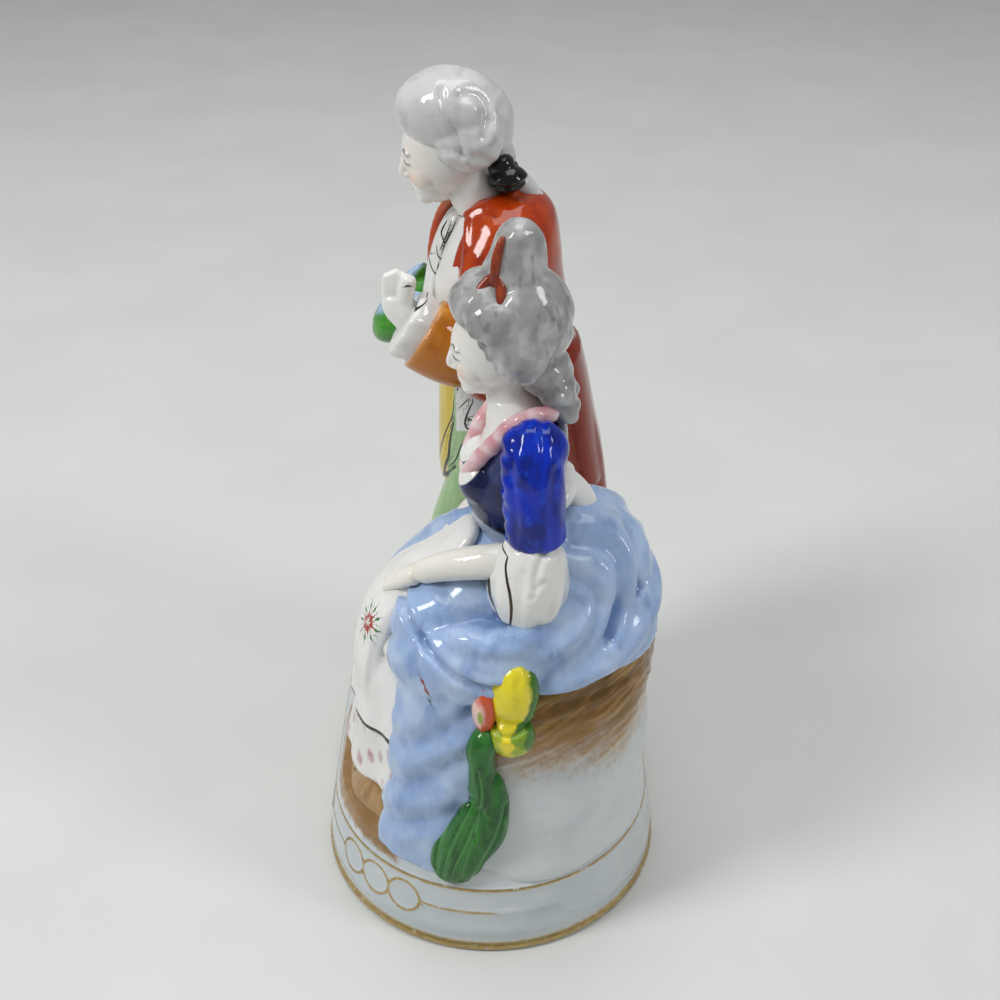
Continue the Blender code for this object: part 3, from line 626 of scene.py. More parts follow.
def makeCoat():
    clay = bmesh.new()
    body = [
        (0, 2.6, 123.2, 7.8, 8), (0, 3.4, 119, 14, 10.8), (0, 1.9, 111.5, 18.5, 13.8),
        (0, 1.2, 104, 17.8, 15.3), (0, 3, 93, 14.8, 15.6), (0, 3.6, 87, 14.4, 16.2), (0, 5, 77, 17, 18),
        (0, 6.5, 62, 19.5, 20.2), (0, 7.6, 47, 21, 21.2), (0, 8.5, 33, 22, 21.8),
    ]
    stack(clay, body, around=180, along=130, cap=0.035, relief=coatOpening)
    collar = [
        (-6.6, -6, 119.6, 1.2), (-7.4, 0, 122, 1.3), (0, 5.6, 123.2, 1.3), (7.4, 0, 122, 1.3),
        (6.6, -6, 119.6, 1.2)
    ]
    limb(clay, collar, side=upZ, along=50)
    sweep(
        clay,
        [(0, 16.4, 88, 11.5, 4.2), (0, 17.6, 80, 12.5, 5), (0, 19.6, 68, 14, 5.4), (0, 22, 54, 15, 5.6)],
        around=64, cap=0.05
    )
    for lapel in (
        [
            (-5.5, -7.8, 120.5, 1.3), (-8.6, -11, 114, 1.6), (-9, -12.7, 106.5, 1.7),
            (-8.8, -12.9, 100, 1.5), (-8.4, -12.4, 95, 1.1)
        ],
        [
            (7, -4.4, 121, 1.1), (12, -4.6, 115.5, 1.2), (13.8, -4.6, 111, 1.2), (14.8, -4.0, 106, 1.1),
            (15, -3, 102, 0.8)
        ],
    ):
        limb(clay, lapel, along=60)
    for side, (shoulder, elbow, cuffEnd, _) in armRun.items():
        shoulder, elbow, cuffEnd = (Vector(p) for p in (shoulder, elbow, cuffEnd))
        bulge = (shoulder + elbow) / 2 + Vector((0.6 * side, 1.6, 0))
        upper = [(*shoulder, 6.4), (*bulge, 6.3), (*elbow, 5.8), (*elbow.lerp(cuffEnd, 0.55), 5.6)]
        limb(
            clay, upper, around=48, along=72, relief=lambda share,
            angle: 1 + 0.025 * np.sin(
                26 * share + 2 * np.cos(angle)
            ) * rise(share, 0.35, 0.5) * rise(share, 0.95, 0.8)
        )
    thing = cast("coat", clay, 0.68, 3)
    points = pointsOf(thing.data)
    # tail: painted shade, the lower back of the coat painted in the deep red
    mark(thing, "tail", np.minimum(points[:, 1] - 12, 98 - points[:, 2]) / 3)
    fromFront = np.degrees(np.arctan2(points[:, 0], 2.4 - points[:, 1]))
    shirt = np.minimum(46 - fromFront, fromFront + 24) / 4
    mark(thing, "shirt", np.minimum(shirt, np.minimum(118.6 - points[:, 2], points[:, 2] - 100)))
    mark(
        thing, "lining",
        np.where((np.abs(points[:, 0]) < 12) & (points[:, 1] < 8) & (points[:, 2] < 70), 1.0, -1.0)
    )
    material = glazed(
        "Porcelain, orange overglaze enamel, brushed", coat["orange"],
        washes=[
            (coat["flame"], (6, 6, 14), 0.45, 0.7, 0.75), (coat["deep"], (3.5, 3.5, 11), 0.52, 0.75, 0.6),
            ("#cc5a22", (1.2, 1.2, 7), 0.55, 0.8, 0.35)
        ],
        poolsAndShade=(coat["deep"], 0.75), thinAndHighlight=(coat["thin"], 0.45), specks=0.4,
        areas=[
            ("tail", coat["deep"], 1.5, 1.0, 0.8, None), ("shirt", "#ecebe7", 0.3, 0.2, 1.0, None),
            ("lining", coat["lining"], 0.3, 0.2, 1.0, None)
        ]
    )
    fire(thing, gentlemanAt, material)


def makeCuffs():
    for side, (_, elbow, cuffEnd, ruffleEnd) in armRun.items():
        label = "left" if side > 0 else "right"
        elbow, cuffEnd, ruffleEnd = (Vector(p) for p in (elbow, cuffEnd, ruffleEnd))
        clay = bmesh.new()
        turned = [
            (*elbow.lerp(cuffEnd, s), r) for s, r in ((0.25, 6.0), (0.45, 7.4), (0.75, 8.2), (1.0, 8.2))
        ]
        limb(clay, turned, around=64, along=64, cap=0.07)
        thing = cast(f"cuff_{label}", clay, 0.45, 3)
        points = pointsOf(thing.data)
        run = np.array(cuffEnd - elbow)
        reach = (points - np.array(elbow)) @ run / (run @ run)
        mark(thing, "cuffEdge", (reach - 0.985) * np.linalg.norm(run))
        material = glazed(
            f"Porcelain, amber enamel, {label} cuff", coat["cuffs"],
            washes=[
                (coat["cuffDeep"], (5, 5, 7), 0.45, 0.7, 0.7),
                (coat["cuffLight"], (4, 4, 6), 0.55, 0.8, 0.7)
            ],
            poolsAndShade=(coat["cuffDeep"], 0.6), thinAndHighlight=("#f3dcb4", 0.9),
            areas=[("cuffEdge", "#f1eee8", 0.35, 0.2, 1.0, None)]
        )
        fire(thing, gentlemanAt, material)
        clay = bmesh.new()
        lace = [
            (*cuffEnd.lerp(ruffleEnd, s), r) for s, r in ((-0.5, 6.2), (0.2, 7.4), (0.7, 7.7), (1.0, 7.3))
        ]
        limb(clay, lace, around=80, along=48, cap=0.08, relief=flutes(9, 0.05))
        thing = cast(f"lace_{label}", clay, 0.42, 3)
        points = pointsOf(thing.data)
        edge = [(-13.0, 106.6), (-16.4, 104.8), (-19.0, 102.6), (-20.4, 99.4)]
        brush(thing, "rimLine", points, [(edge, 0.22, 0)], where=(points[:, 0] > 12) & (points[:, 0] < 26))
        material = glazed(
            f"Porcelain, clear glazed, {label} lace", "#e9e8e4",
            washes=[("#dcdcd8", (7, 7, 7), 0.4, 0.7, 0.6)], poolsAndShade=("#b9bab8", 0.6),
            strokes=[("rimLine", "#2c2a26", 0.3)]
        )
        fire(thing, gentlemanAt, material)


# Gentleman: waistcoat, shirt front and breeches

waistcoat = {
    "shirt": "#ecebe6", "yellow": "#ddc64a", "yellowDeep": "#c2a530", "green": "#a9c796",
    "greenDeep": "#8db37c", "ink": "#23241f", "lineWidth": 0.28,
}


def makeWaistcoat():
    clay = bmesh.new()
    front = [
        (0, 0.5, 121, 5.5, 5), (0, 1.5, 117, 11, 7.6), (0, 1, 112, 16, 10.4), (0, 0, 104, 16, 13),
        (0, 1, 94, 13.5, 13.5), (0, 2, 87, 12.5, 13.8), (0, 2.5, 78, 14, 14.6), (0, 3, 68, 14.6, 15.4),
        (0, 2.6, 58, 14.6, 15.2), (0, 2.6, 50, 14, 14.6),
    ]
    stack(clay, front, around=140, along=110, cap=0.06)
    thing = cast("waistcoat", clay, 0.62, 3)
    points = pointsOf(thing.data)
    x, y, z = points.T
    wide = np.abs(x)
    mark(thing, "yellowFront", np.minimum(97.5 - z, (-y - 8.4) - 0.16 * (78 - z) * (z < 78) * 0.6))
    mark(thing, "greenSides", np.minimum(92 - z - 0.5 * (y + 8), y + 8.4 + 0.10 * np.maximum(78 - z, 0)))
    mark(thing, "whitePanel", np.minimum(np.minimum(y + 7.9, z - 70.5 - 0.4 * (y + 5)), 86 - z))
    w = waistcoat["lineWidth"]
    brush(thing, "ink", points, [
        ([(-8.2, 77.5), (-8.4, 76.4), (-8.8, 72.7), (-10.5, 67.3), (-11.8, 61.8), (-12.5, 56.5)], 0.14, 0),
        ([(-8.3, 72.0), (-9.0, 68.6), (-9.6, 64.9), (-9.9, 61.5), (-10.8, 58.0), (-11.3, 54.4)], w, 0.5),
        ([(-5.3, 69.3), (-6.8, 65.9), (-8.2, 61.5), (-9.9, 58.7)], 0.16, 0),
        # painted shadow: this thick dark stroke runs along the edge of the lady's skirt, in the gap between
        # the figures
        ([(-8.2, 59.8), (-9.9, 56.6), (-12.1, 53.1), (-14.4, 47.4)], 0.5, 0.4),
        ([(-4.7, 78.9), (-6.6, 76.2), (-7.5, 75.0)], 0.12, 0),
        ([(-4.3, 79.4), (-3.9, 78.3), (-4.6, 76.5), (-5.5, 73.9), (-5.8, 71.9), (-5.2, 70.9), (-4.1, 71.7),
          (-3.9, 73.2), (-4.8, 73.5), (-5.1, 72.6)], w * 0.9, 0.6),
        ([(-8.0, 81.2), (-7.4, 80.3), (-7.6, 79.3)], 0.2, 0)], where=wide > 2)
    material = glazed(
        "Porcelain, yellow and green enamel waistcoat", waistcoat["shirt"],
        washes=[("#dddddb", (9, 9, 12), 0.4, 0.7, 0.5)], poolsAndShade=("#b4b4b0", 0.5),
        areas=[
            ("greenSides", waistcoat["green"], 0.25, 0.35, 1.0, None),
            ("greenSides", waistcoat["greenDeep"], 0.4, 0.3, 0.6, (2, 2, 9)),
            ("yellowFront", waistcoat["yellow"], 0.25, 0.25, 1.0, None),
            ("yellowFront", waistcoat["yellowDeep"], 0.6, 0.4, 0.5, (2.5, 2.5, 9)),
            ("whitePanel", "#e4e5e2", 0.25, 0.2, 1.0, None)],
        strokes=[("ink", waistcoat["ink"], 0.35)])
    fire(thing, gentlemanAt, material)


def makeJabot():
    clay = bmesh.new()
    fall = [
        (0, -5.8, 119.5, 3.6, 2.4), (0, -9.2, 113, 4.4, 2.6), (0, -11.4, 106, 5.2, 2.6),
        (0, -12.6, 99, 6.2, 2.6), (0, -12.6, 95, 6.4, 2.2),
    ]
    sweep(clay, fall, around=56, along=60, relief=flutes(7, 0.10))
    for x in (-4.2, -1.4, 1.4, 4.2):
        ball(clay, (x, -13.6, 96), (1.9, 1.8, 2.8))
    for x in (-2.8, 2.8):
        ball(clay, (x, -13.9, 98.8), (1.8, 1.5, 2.2))
    thing = cast("jabot", clay, 0.31, 3)
    points = pointsOf(thing.data)
    strokes = [
        ([(-9.2, 117.2), (-10.5, 114.8), (-10.2, 113.4), (-9.3, 112.4)], 0.17, 0),
        ([(-7.2, 117.6), (-8.2, 115.5), (-9.6, 112.7), (-10.5, 110.6)], 0.17, 0),
        ([(-8.3, 117.4), (-9.4, 114.4), (-10.9, 111.2)], 0.13, 0),
        ([(-11.6, 111.8), (-11.5, 110.2), (-10.7, 109.2), (-9.4, 108.5), (-9.6, 105.6)], 0.2, 0.6),
        ([(-12.3, 109.9), (-13.4, 108.8), (-12.8, 106.7), (-11.1, 105.6), (-9.7, 105.5), (-8.8, 104.5),
          (-8.5, 101.6)], 0.18, 0.6),
        ([(-11.2, 108.4), (-11.5, 106.8)], 0.14, 0)]
    brush(thing, "ink", points, strokes)
    material = glazed(
        "Porcelain, clear glazed, lace jabot", "#ecebe7", poolsAndShade=("#6b5a34", 0.85),
        washes=[("#dcdcda", (4, 4, 6), 0.4, 0.7, 0.5)], strokes=[("ink", waistcoat["ink"], 0.35)])
    fire(thing, gentlemanAt, material)


def makeLegs():
    clay, shoes = bmesh.new(), bmesh.new()
    for side, lead in ((1, 0.0), (-1, 4.5)):
        limb(clay, [
            (7 * side, 1, 62, 8), (7.4 * side, -4 + lead * 0.5, 50, 8), (8 * side, -8.6 + lead, 38, 7),
            (8.2 * side, -8 + lead, 33.5, 6)], around=48, along=60)
        limb(
            clay,
            [
                (8.2 * side, -7.4 + lead, 34, 5.2), (8.3 * side, -5.6 + lead, 24, 5),
                (8.4 * side, -5.6 + lead, 14, 3.9), (8.4 * side, -6 + lead, 3, 3.5)
            ],
            around=48, along=60
        )
        sweep(shoes, [
            (8.4 * side, -2.2 + lead, 2.8, 3.2, 3.4), (8.6 * side, -7 + lead, 2.8, 3.7, 3.4),
            (9.2 * side, -13 + lead, 1.6, 4, 2.6), (9.4 * side, -17 + lead, 1, 2.6, 2)])
        ball(shoes, (8.7 * side, -9.4 + lead, 5.2), (2.3, 1.5, 1.6))
    thing = cast("breeches_and_stockings", clay, 0.68, 3)
    points = pointsOf(thing.data)
    mark(thing, "breeches", points[:, 2] - 33.5)
    # painted shadow: the same thick dark line, carried down the breeches along the edge of the lady's skirt
    brush(thing, "ink", points, [
        ([(-9.9, 56.6), (-12.1, 53.1), (-14.4, 47.4), (-16.0, 42.1)], 0.5, 0.4)], where=points[:, 0] > 0)
    material = glazed(
        "Porcelain, pale green enamel breeches", "#ecebe6", poolsAndShade=("#c2c4c2", 0.4),
        areas=[
            ("breeches", waistcoat["green"], 0.4, 0.3, 1.0, None),
            ("breeches", waistcoat["greenDeep"], 0.6, 0.4, 0.6, (2, 2, 8))
        ],
        strokes=[("ink", waistcoat["ink"], 0.35)]
    )
    fire(thing, gentlemanAt, material)
    thing = cast("gentleman_shoes", shoes, 0.45, 3)
    points = pointsOf(thing.data)
    buckles = np.minimum(
        np.hypot(points[:, 0] - 8.7, points[:, 1] + 9.8), np.hypot(points[:, 0] + 8.7, points[:, 1] + 5.3)
    )
    mark(thing, "buckle", np.minimum(1.7 - buckles, points[:, 2] - 5.4))
    material = glazed(
        "Porcelain, black enamel shoes", "#181715", washes=[("#2d2a27", (3, 3, 3), 0.5, 0.8, 0.6)],
        areas=[("buckle", "#b98d4a", 0.2, 0.1, 1.0, None)], specks=0
    )
    fire(thing, gentlemanAt, material)


# Heads: a plain modelled face on the usual proportions, eyes half-way down, in shares of the head's height

face = {
    "skin": "#eeede8", "warm": "#f2e4d8", "blush": "#f0a878", "lips": "#c65a48", "brow": "#3b302a",
    "eye": "#4a4550", "grain": 0.29,
}


def addHead(clay, centre, tall, pitch):
    head = bmesh.new()
    ball(head, (0, 0.02, 0.03), (0.36, 0.42, 0.46), around=48, along=36)
    ball(head, (0, -0.11, -0.22), (0.25, 0.268, 0.258), around=40, along=30)
    for side in (-1, 1):
        ball(head, (0.155 * side, -0.19, -0.13), (0.15, 0.165, 0.17))
        ball(head, (0.13 * side, -0.315, 0.115), (0.11, 0.06, 0.045))
        ball(head, (0.135 * side, -0.33, 0.02), (0.075, 0.05, 0.042))
        ball(head, (0.036 * side, -0.395, -0.138), (0.032, 0.036, 0.026), around=20, along=16)
    limb(
        head,
        [
            (0, -0.35, 0.11, 0.040), (0, -0.385, 0.02, 0.040), (0, -0.43, -0.09, 0.044),
            (0, -0.415, -0.14, 0.036)
        ]
    )
    limb(
        head, [(-0.08, -0.335, -0.258, 0.016), (0, -0.362, -0.246, 0.024), (0.08, -0.335, -0.258, 0.016)],
        side=upZ
    )
    ball(head, (0, -0.350, -0.292), (0.062, 0.032, 0.026), around=24, along=16)
    ball(head, (0, -0.255, -0.36), (0.15, 0.105, 0.11))
    where = Matrix.Translation(centre) @ Matrix.Rotation(math.radians(pitch), 4, "X") @ Matrix.Scale(tall, 4)
    bmesh.ops.transform(head, matrix=where, verts=head.verts)
    mesh = bpy.data.meshes.new("head")
    head.to_mesh(mesh)
    head.free()
    clay.from_mesh(mesh)
    bpy.data.meshes.remove(mesh)
    return where


def paintFace(thing, where, points):
    # brows, eyes, blush and lips in the head's own shares, the same on both sides
    back = np.array(where.inverted())
    local = points @ back[:3, :3].T + back[:3, 3]
    mirror = np.column_stack((np.abs(local[:, 0]), local[:, 1], local[:, 2]))
    ahead = local[:, 1] < -0.12
    mm = where.to_scale()[0]
    scaled = mirror * mm
    brush(
        thing, "brows", scaled,
        [
            (
                [
                    (0.065 * mm, 0.115 * mm), (0.12 * mm, 0.150 * mm), (0.19 * mm, 0.142 * mm),
                    (0.235 * mm, 0.10 * mm)
                ],
                0.12, -0.4
            )
        ],
        plane=frontOn, where=ahead
    )
    brush(
        thing, "eyes", scaled,
        [
            (
                [
                    (0.075 * mm, 0.012 * mm), (0.115 * mm, 0.042 * mm), (0.165 * mm, 0.038 * mm),
                    (0.215 * mm, 0.002 * mm)
                ],
                0.16, 0.5
            ),
            ([(0.10 * mm, -0.008 * mm), (0.145 * mm, -0.016 * mm), (0.185 * mm, -0.004 * mm)], 0.07, 0),
            ([(0.135 * mm, 0.028 * mm), (0.138 * mm, 0.010 * mm), (0.137 * mm, -0.006 * mm)], 0.30, 0)
        ],
        plane=frontOn, where=ahead
    )
    mark(
        thing, "blush",
        np.where(
            ahead, 1.6 - 2.0 * np.hypot((scaled[:, 0] - 0.20 * mm) / 1.5, (scaled[:, 2] + 0.13 * mm) / 1.5),
            -3
        )
    )
    lips = 0.075 * mm - np.hypot(scaled[:, 0], (scaled[:, 2] + 0.272 * mm) * 1.9)
    mark(thing, "lips", np.where(local[:, 1] < -0.33, lips, -3))


def skinGlaze(name, **more):
    return glazed(
        name, face["skin"], washes=[(face["warm"], (9, 9, 9), 0.4, 0.75, 0.6)], poolsAndShade=("#c9c0b6", 0.5),
        areas=[
            ("blush", face["blush"], 1.9, 0.2, 0.62, None), ("lips", face["lips"], 0.25, 0.1, 0.8, None)
        ] + more.get("areas", []),
        strokes=[("brows", face["brow"], 0.5), ("eyes", face["eye"], 0.5)] + more.get("strokes", []),
        specks=0.25
    )


def makeGentlemanHead():
    clay = bmesh.new()
    limb(clay, [(0, 1, 114, 6.6), (0, -3, 122, 5.6), (0, -6.5, 130, 5.4)], around=48)
    where = addHead(clay, (0, -10.0, 131.2), 21.4, 12)
    thing = cast("gentleman_head", clay, face["grain"], 7)
    points = pointsOf(thing.data)
    paintFace(thing, where, points)
    # painted shadow: a dark brown line on the neck along the top of the collar
    brush(
        thing, "collarShadow", points,
        [([(-9.4, 119.6), (-8.1, 118.3), (-5.8, 118.6), (-3.6, 119.4)], 0.14, 0)]
    )
    fire(
        thing, gentlemanAt,
        skinGlaze("Porcelain, clear glazed, gentleman's face", strokes=[("collarShadow", "#4a3a1e", 0.5)]),
    )


def waves(points, centre, count, climb, depth):
    # soft locks that run back from the forehead
    away = points - np.array(centre)
    turn = np.arctan2(away[:, 2], -away[:, 1])
    return depth * np.sin(
        count * turn + climb * np.abs(away[:, 0]) + 1.2 * np.sin(0.5 * away[:, 0] + 2 * turn)
    )


def makeWig():
    clay = bmesh.new()
    ball(clay, (0, -8.2, 140.4), (10.4, 11.9, 8.6), pitch=-6, around=56, along=40)
    ball(clay, (0, -4.2, 137.4), (9.8, 9.4, 9.4), around=56, along=40)
    for side in (-1, 1):
        ball(clay, (6.8 * side, -4.2, 135.4), (4.2, 7.2, 6.2), pitch=6)
        ball(clay, (7.0 * side, -4.4, 140.8), (3.3, 3.8, 4.2))
    limb(clay, [(0, -2.4, 134.5, 6.4), (0, 1.2, 130, 4.6), (0, 4, 127.4, 3)])
    limb(
        clay,
        [
            (0, 4.6, 126.4, 2.6), (0, 8.4, 122.8, 2.3), (0, 11, 118.6, 2.2), (0, 12.6, 113.6, 1.8),
            (0, 13, 109, 1.1)
        ]
    )

    def tooled(points):
        head = rise(points[:, 2], 126, 131)
        locks = waves(points, (0, -6, 134), 4, 0.35, 0.16) + waves(points, (0, -4, 131), 9, 0.8, 0.05)
        side = creases(
            points,
            [
                ([(-12.5, 133.5), (-8, 134.5), (-2, 133.5), (1.5, 130.5)], 0.3, 0.9),
                ([(-9.5, 146), (-8.6, 142), (-6.6, 138), (-5.4, 134)], 0.5, 0.8),
                ([(-5.5, 145.4), (-2.5, 145), (-0.5, 142), (-1, 137.6)], 0.45, 0.9),
                ([(2.6, 142), (3.2, 137), (2.4, 132)], 0.3, 1.0)
            ],
            near=False
        )
        return head * (locks + side)

    thing = cast("wig", clay, 0.43, 3, tooled)
    material = glazed(
        "Porcelain, grey enamel wig", "#cdcecd",
        washes=[
            ("#dadbda", (8, 8, 8), 0.4, 0.7, 0.8), ("#aeacaa", (5, 4, 3), 0.5, 0.78, 0.7),
            ("#b5aca6", (2, 6, 2), 0.55, 0.8, 0.5)
        ],
        poolsAndShade=("#918c8a", 0.8), thinAndHighlight=("#e2e3e2", 0.5), specks=0.3
    )
    fire(thing, gentlemanAt, material)
    clay = bmesh.new()
    for side in (-1, 1):
        back = 0 if side > 0 else 1.6
        ball(clay, (3.4 * side, 2.4 - back, 129.6 - back), (3.2, 3.0, 2.4), pitch=20)
        ball(clay, (4.4 * side, 3.8 - back, 127.0 - back), (4.0, 4.2, 2.8), pitch=8)
    ball(clay, (0, 3.6, 127.4), (2.2, 2.8, 2.8))
    thing = cast(
        "wig_bow", clay, 0.33, 2,
        lambda p: creases(p, [([(0.4, 126.6), (3.6, 126.0), (7.6, 126.9)], 0.45, 0.5)], near=False)
    )
    material = glazed(
        "Porcelain, black enamel bow", "#0e0f0e", washes=[("#26302b", (2, 2, 2), 0.55, 0.8, 0.6)], specks=0
    )
    fire(thing, gentlemanAt, material)


def makeHands():
    hands = {
        1: ((19, -16, 99), (18.8, -19.2, 104.6), (18.6, -19.9, 112.6), (20.2, -16.2, 111.4)),
        -1: ((-13, -15, 89), (-10.5, -18.6, 90.5), (-7, -22.5, 93), (-7.5, -18, 95)),
    }
    for side, spots in hands.items():
        wrist, palm, tips, thumb = (Vector(p) for p in spots)
        clay = bmesh.new()
        sweep(
            clay,
            [
                (*wrist, 2.8, 2.6), (*wrist.lerp(palm, 0.6), 3.4, 2.7), (*palm, 3.6, 2.5),
                (*palm.lerp(tips, 0.3), 3.1, 2.0)
            ],
            side=backY if side > 0 else acrossX
        )
        spread = Vector((0.15, 1, 0)) if side > 0 else Vector((0.5, 0.5, -0.6)).normalized()
        for finger in (-1.5, -0.5, 0.5, 1.5):
            root, tip = palm + spread * finger * 1.3, tips + spread * finger * 0.85
            tip = tip.lerp(root, 0.06 * abs(finger - 0.5))
            middle = root.lerp(tip, 0.55) + Vector((0, -0.25, 0))
            limb(clay, [(*root, 1.5), (*middle, 1.35), (*tip, 1.1)], around=24, along=30, cap=0.2)
        limb(
            clay, [(*palm.lerp(wrist, 0.3), 2.0), (*palm.lerp(thumb, 0.65), 1.8), (*thumb, 1.4)], around=24,
            along=30, cap=0.2
        )
        label = "left" if side > 0 else "right"
        thing = cast(f"gentleman_hand_{label}", clay, 0.33, 2)
        points = pointsOf(thing.data)
        # painted shade: a dark dash in the gap between the thumb and fingers of the raised hand
        brush(
            thing, "gap", points, [([(-17.6, 109.6), (-16.9, 109.9), (-16.2, 109.7)], 0.26, 0)],
            where=points[:, 0] > 15
        )
        material = glazed(
            f"Porcelain, clear glazed, gentleman's {label} hand", face["skin"], poolsAndShade=("#cbc5bd", 0.5),
            strokes=[("gap", "#3a352c", 0.4)], specks=0.25
        )
        fire(thing, gentlemanAt, material)


hat = {
    "green": "#3f8a2c", "leaf": "#5da33a", "deep": "#1f5a24", "brim": "#a9c6e4", "edge": "#dfe6e4",
}


def makeHat():
    # held upside down, a boat-shaped crown with its cocked brim uppermost
    clay = bmesh.new()
    ball(clay, (-8.5, -19.9, 90.8), (9, 9.4, 5), pitch=37, around=48, along=36)
    corners = [(-8.5, -27.0, 87.4), (1.5, -15.5, 98), (-18.5, -15.5, 98)]
    middle = Vector((-8.5, -19.9, 94.7))
    for start, end in zip(corners, corners[1:] + corners[:1]):
        bow = ((Vector(start) + Vector(end)) / 2).lerp(middle, 0.25) + Vector((0, -0.6, 0.8)) * 1.5
        limb(clay, [(*start, 1.7), (*bow, 2.0), (*end, 1.7)])
    thing = cast("hat", clay, 0.45, 3)
    points = pointsOf(thing.data)
    up = (points - np.array(middle)) @ np.array((0, -0.6, 0.8))
    mark(thing, "brim", up - 1.2)
    material = glazed(
        "Porcelain, green enamel hat", hat["green"],
        washes=[(hat["leaf"], (5, 5, 5), 0.45, 0.7, 0.7), (hat["deep"], (3, 3, 4), 0.55, 0.8, 0.5)],
        poolsAndShade=(hat["deep"], 0.5), areas=[("brim", hat["brim"], 0.6, 0.4, 0.95, None)],
        thinAndHighlight=(hat["edge"], 0.4)
    )
    fire(thing, gentlemanAt, material)


# Lady: skirts

skirt = {
    "white": "#eceae6", "apronGrey": "#b9b8b4", "pink": "#cf8f9c", "blue": "#9db6dc", "blueDeep": "#7895c4",
    "blueLight": "#c0d2ea", "ink": "#1e1b18", "red": "#a52c1e", "leaf": "#3f7a34",
}


def hemFolds(share, angle):
    wave = np.cos(11 * angle + 0.8 * np.sin(3 * angle)) + 0.5 * np.cos(17 * angle + 1)
    return 1 + 0.026 * rise(share, 0.3, 1.0) * wave


def lookingAt(points, centre, outward):
    # the points across and up from a place, seen straight on, and which of them lie near it
    outward = Vector(outward).normalized()
    across = Vector(upZ).cross(outward).normalized()
    away = points - np.array(centre)
    flat = away @ np.column_stack((across, outward.cross(across)))
    return flat, np.abs(away @ np.array(outward)) < 4


def flower(centre, count, reach, width):
    # short strokes that ray out from the centre
    rays = []
    for turn in np.linspace(0, 2 * math.pi, count + 1)[:-1]:
        ends = [(centre[0] + r * math.cos(turn), centre[1] + r * math.sin(turn)) for r in reach]
        rays.append((ends, width, 0.4))
    return rays


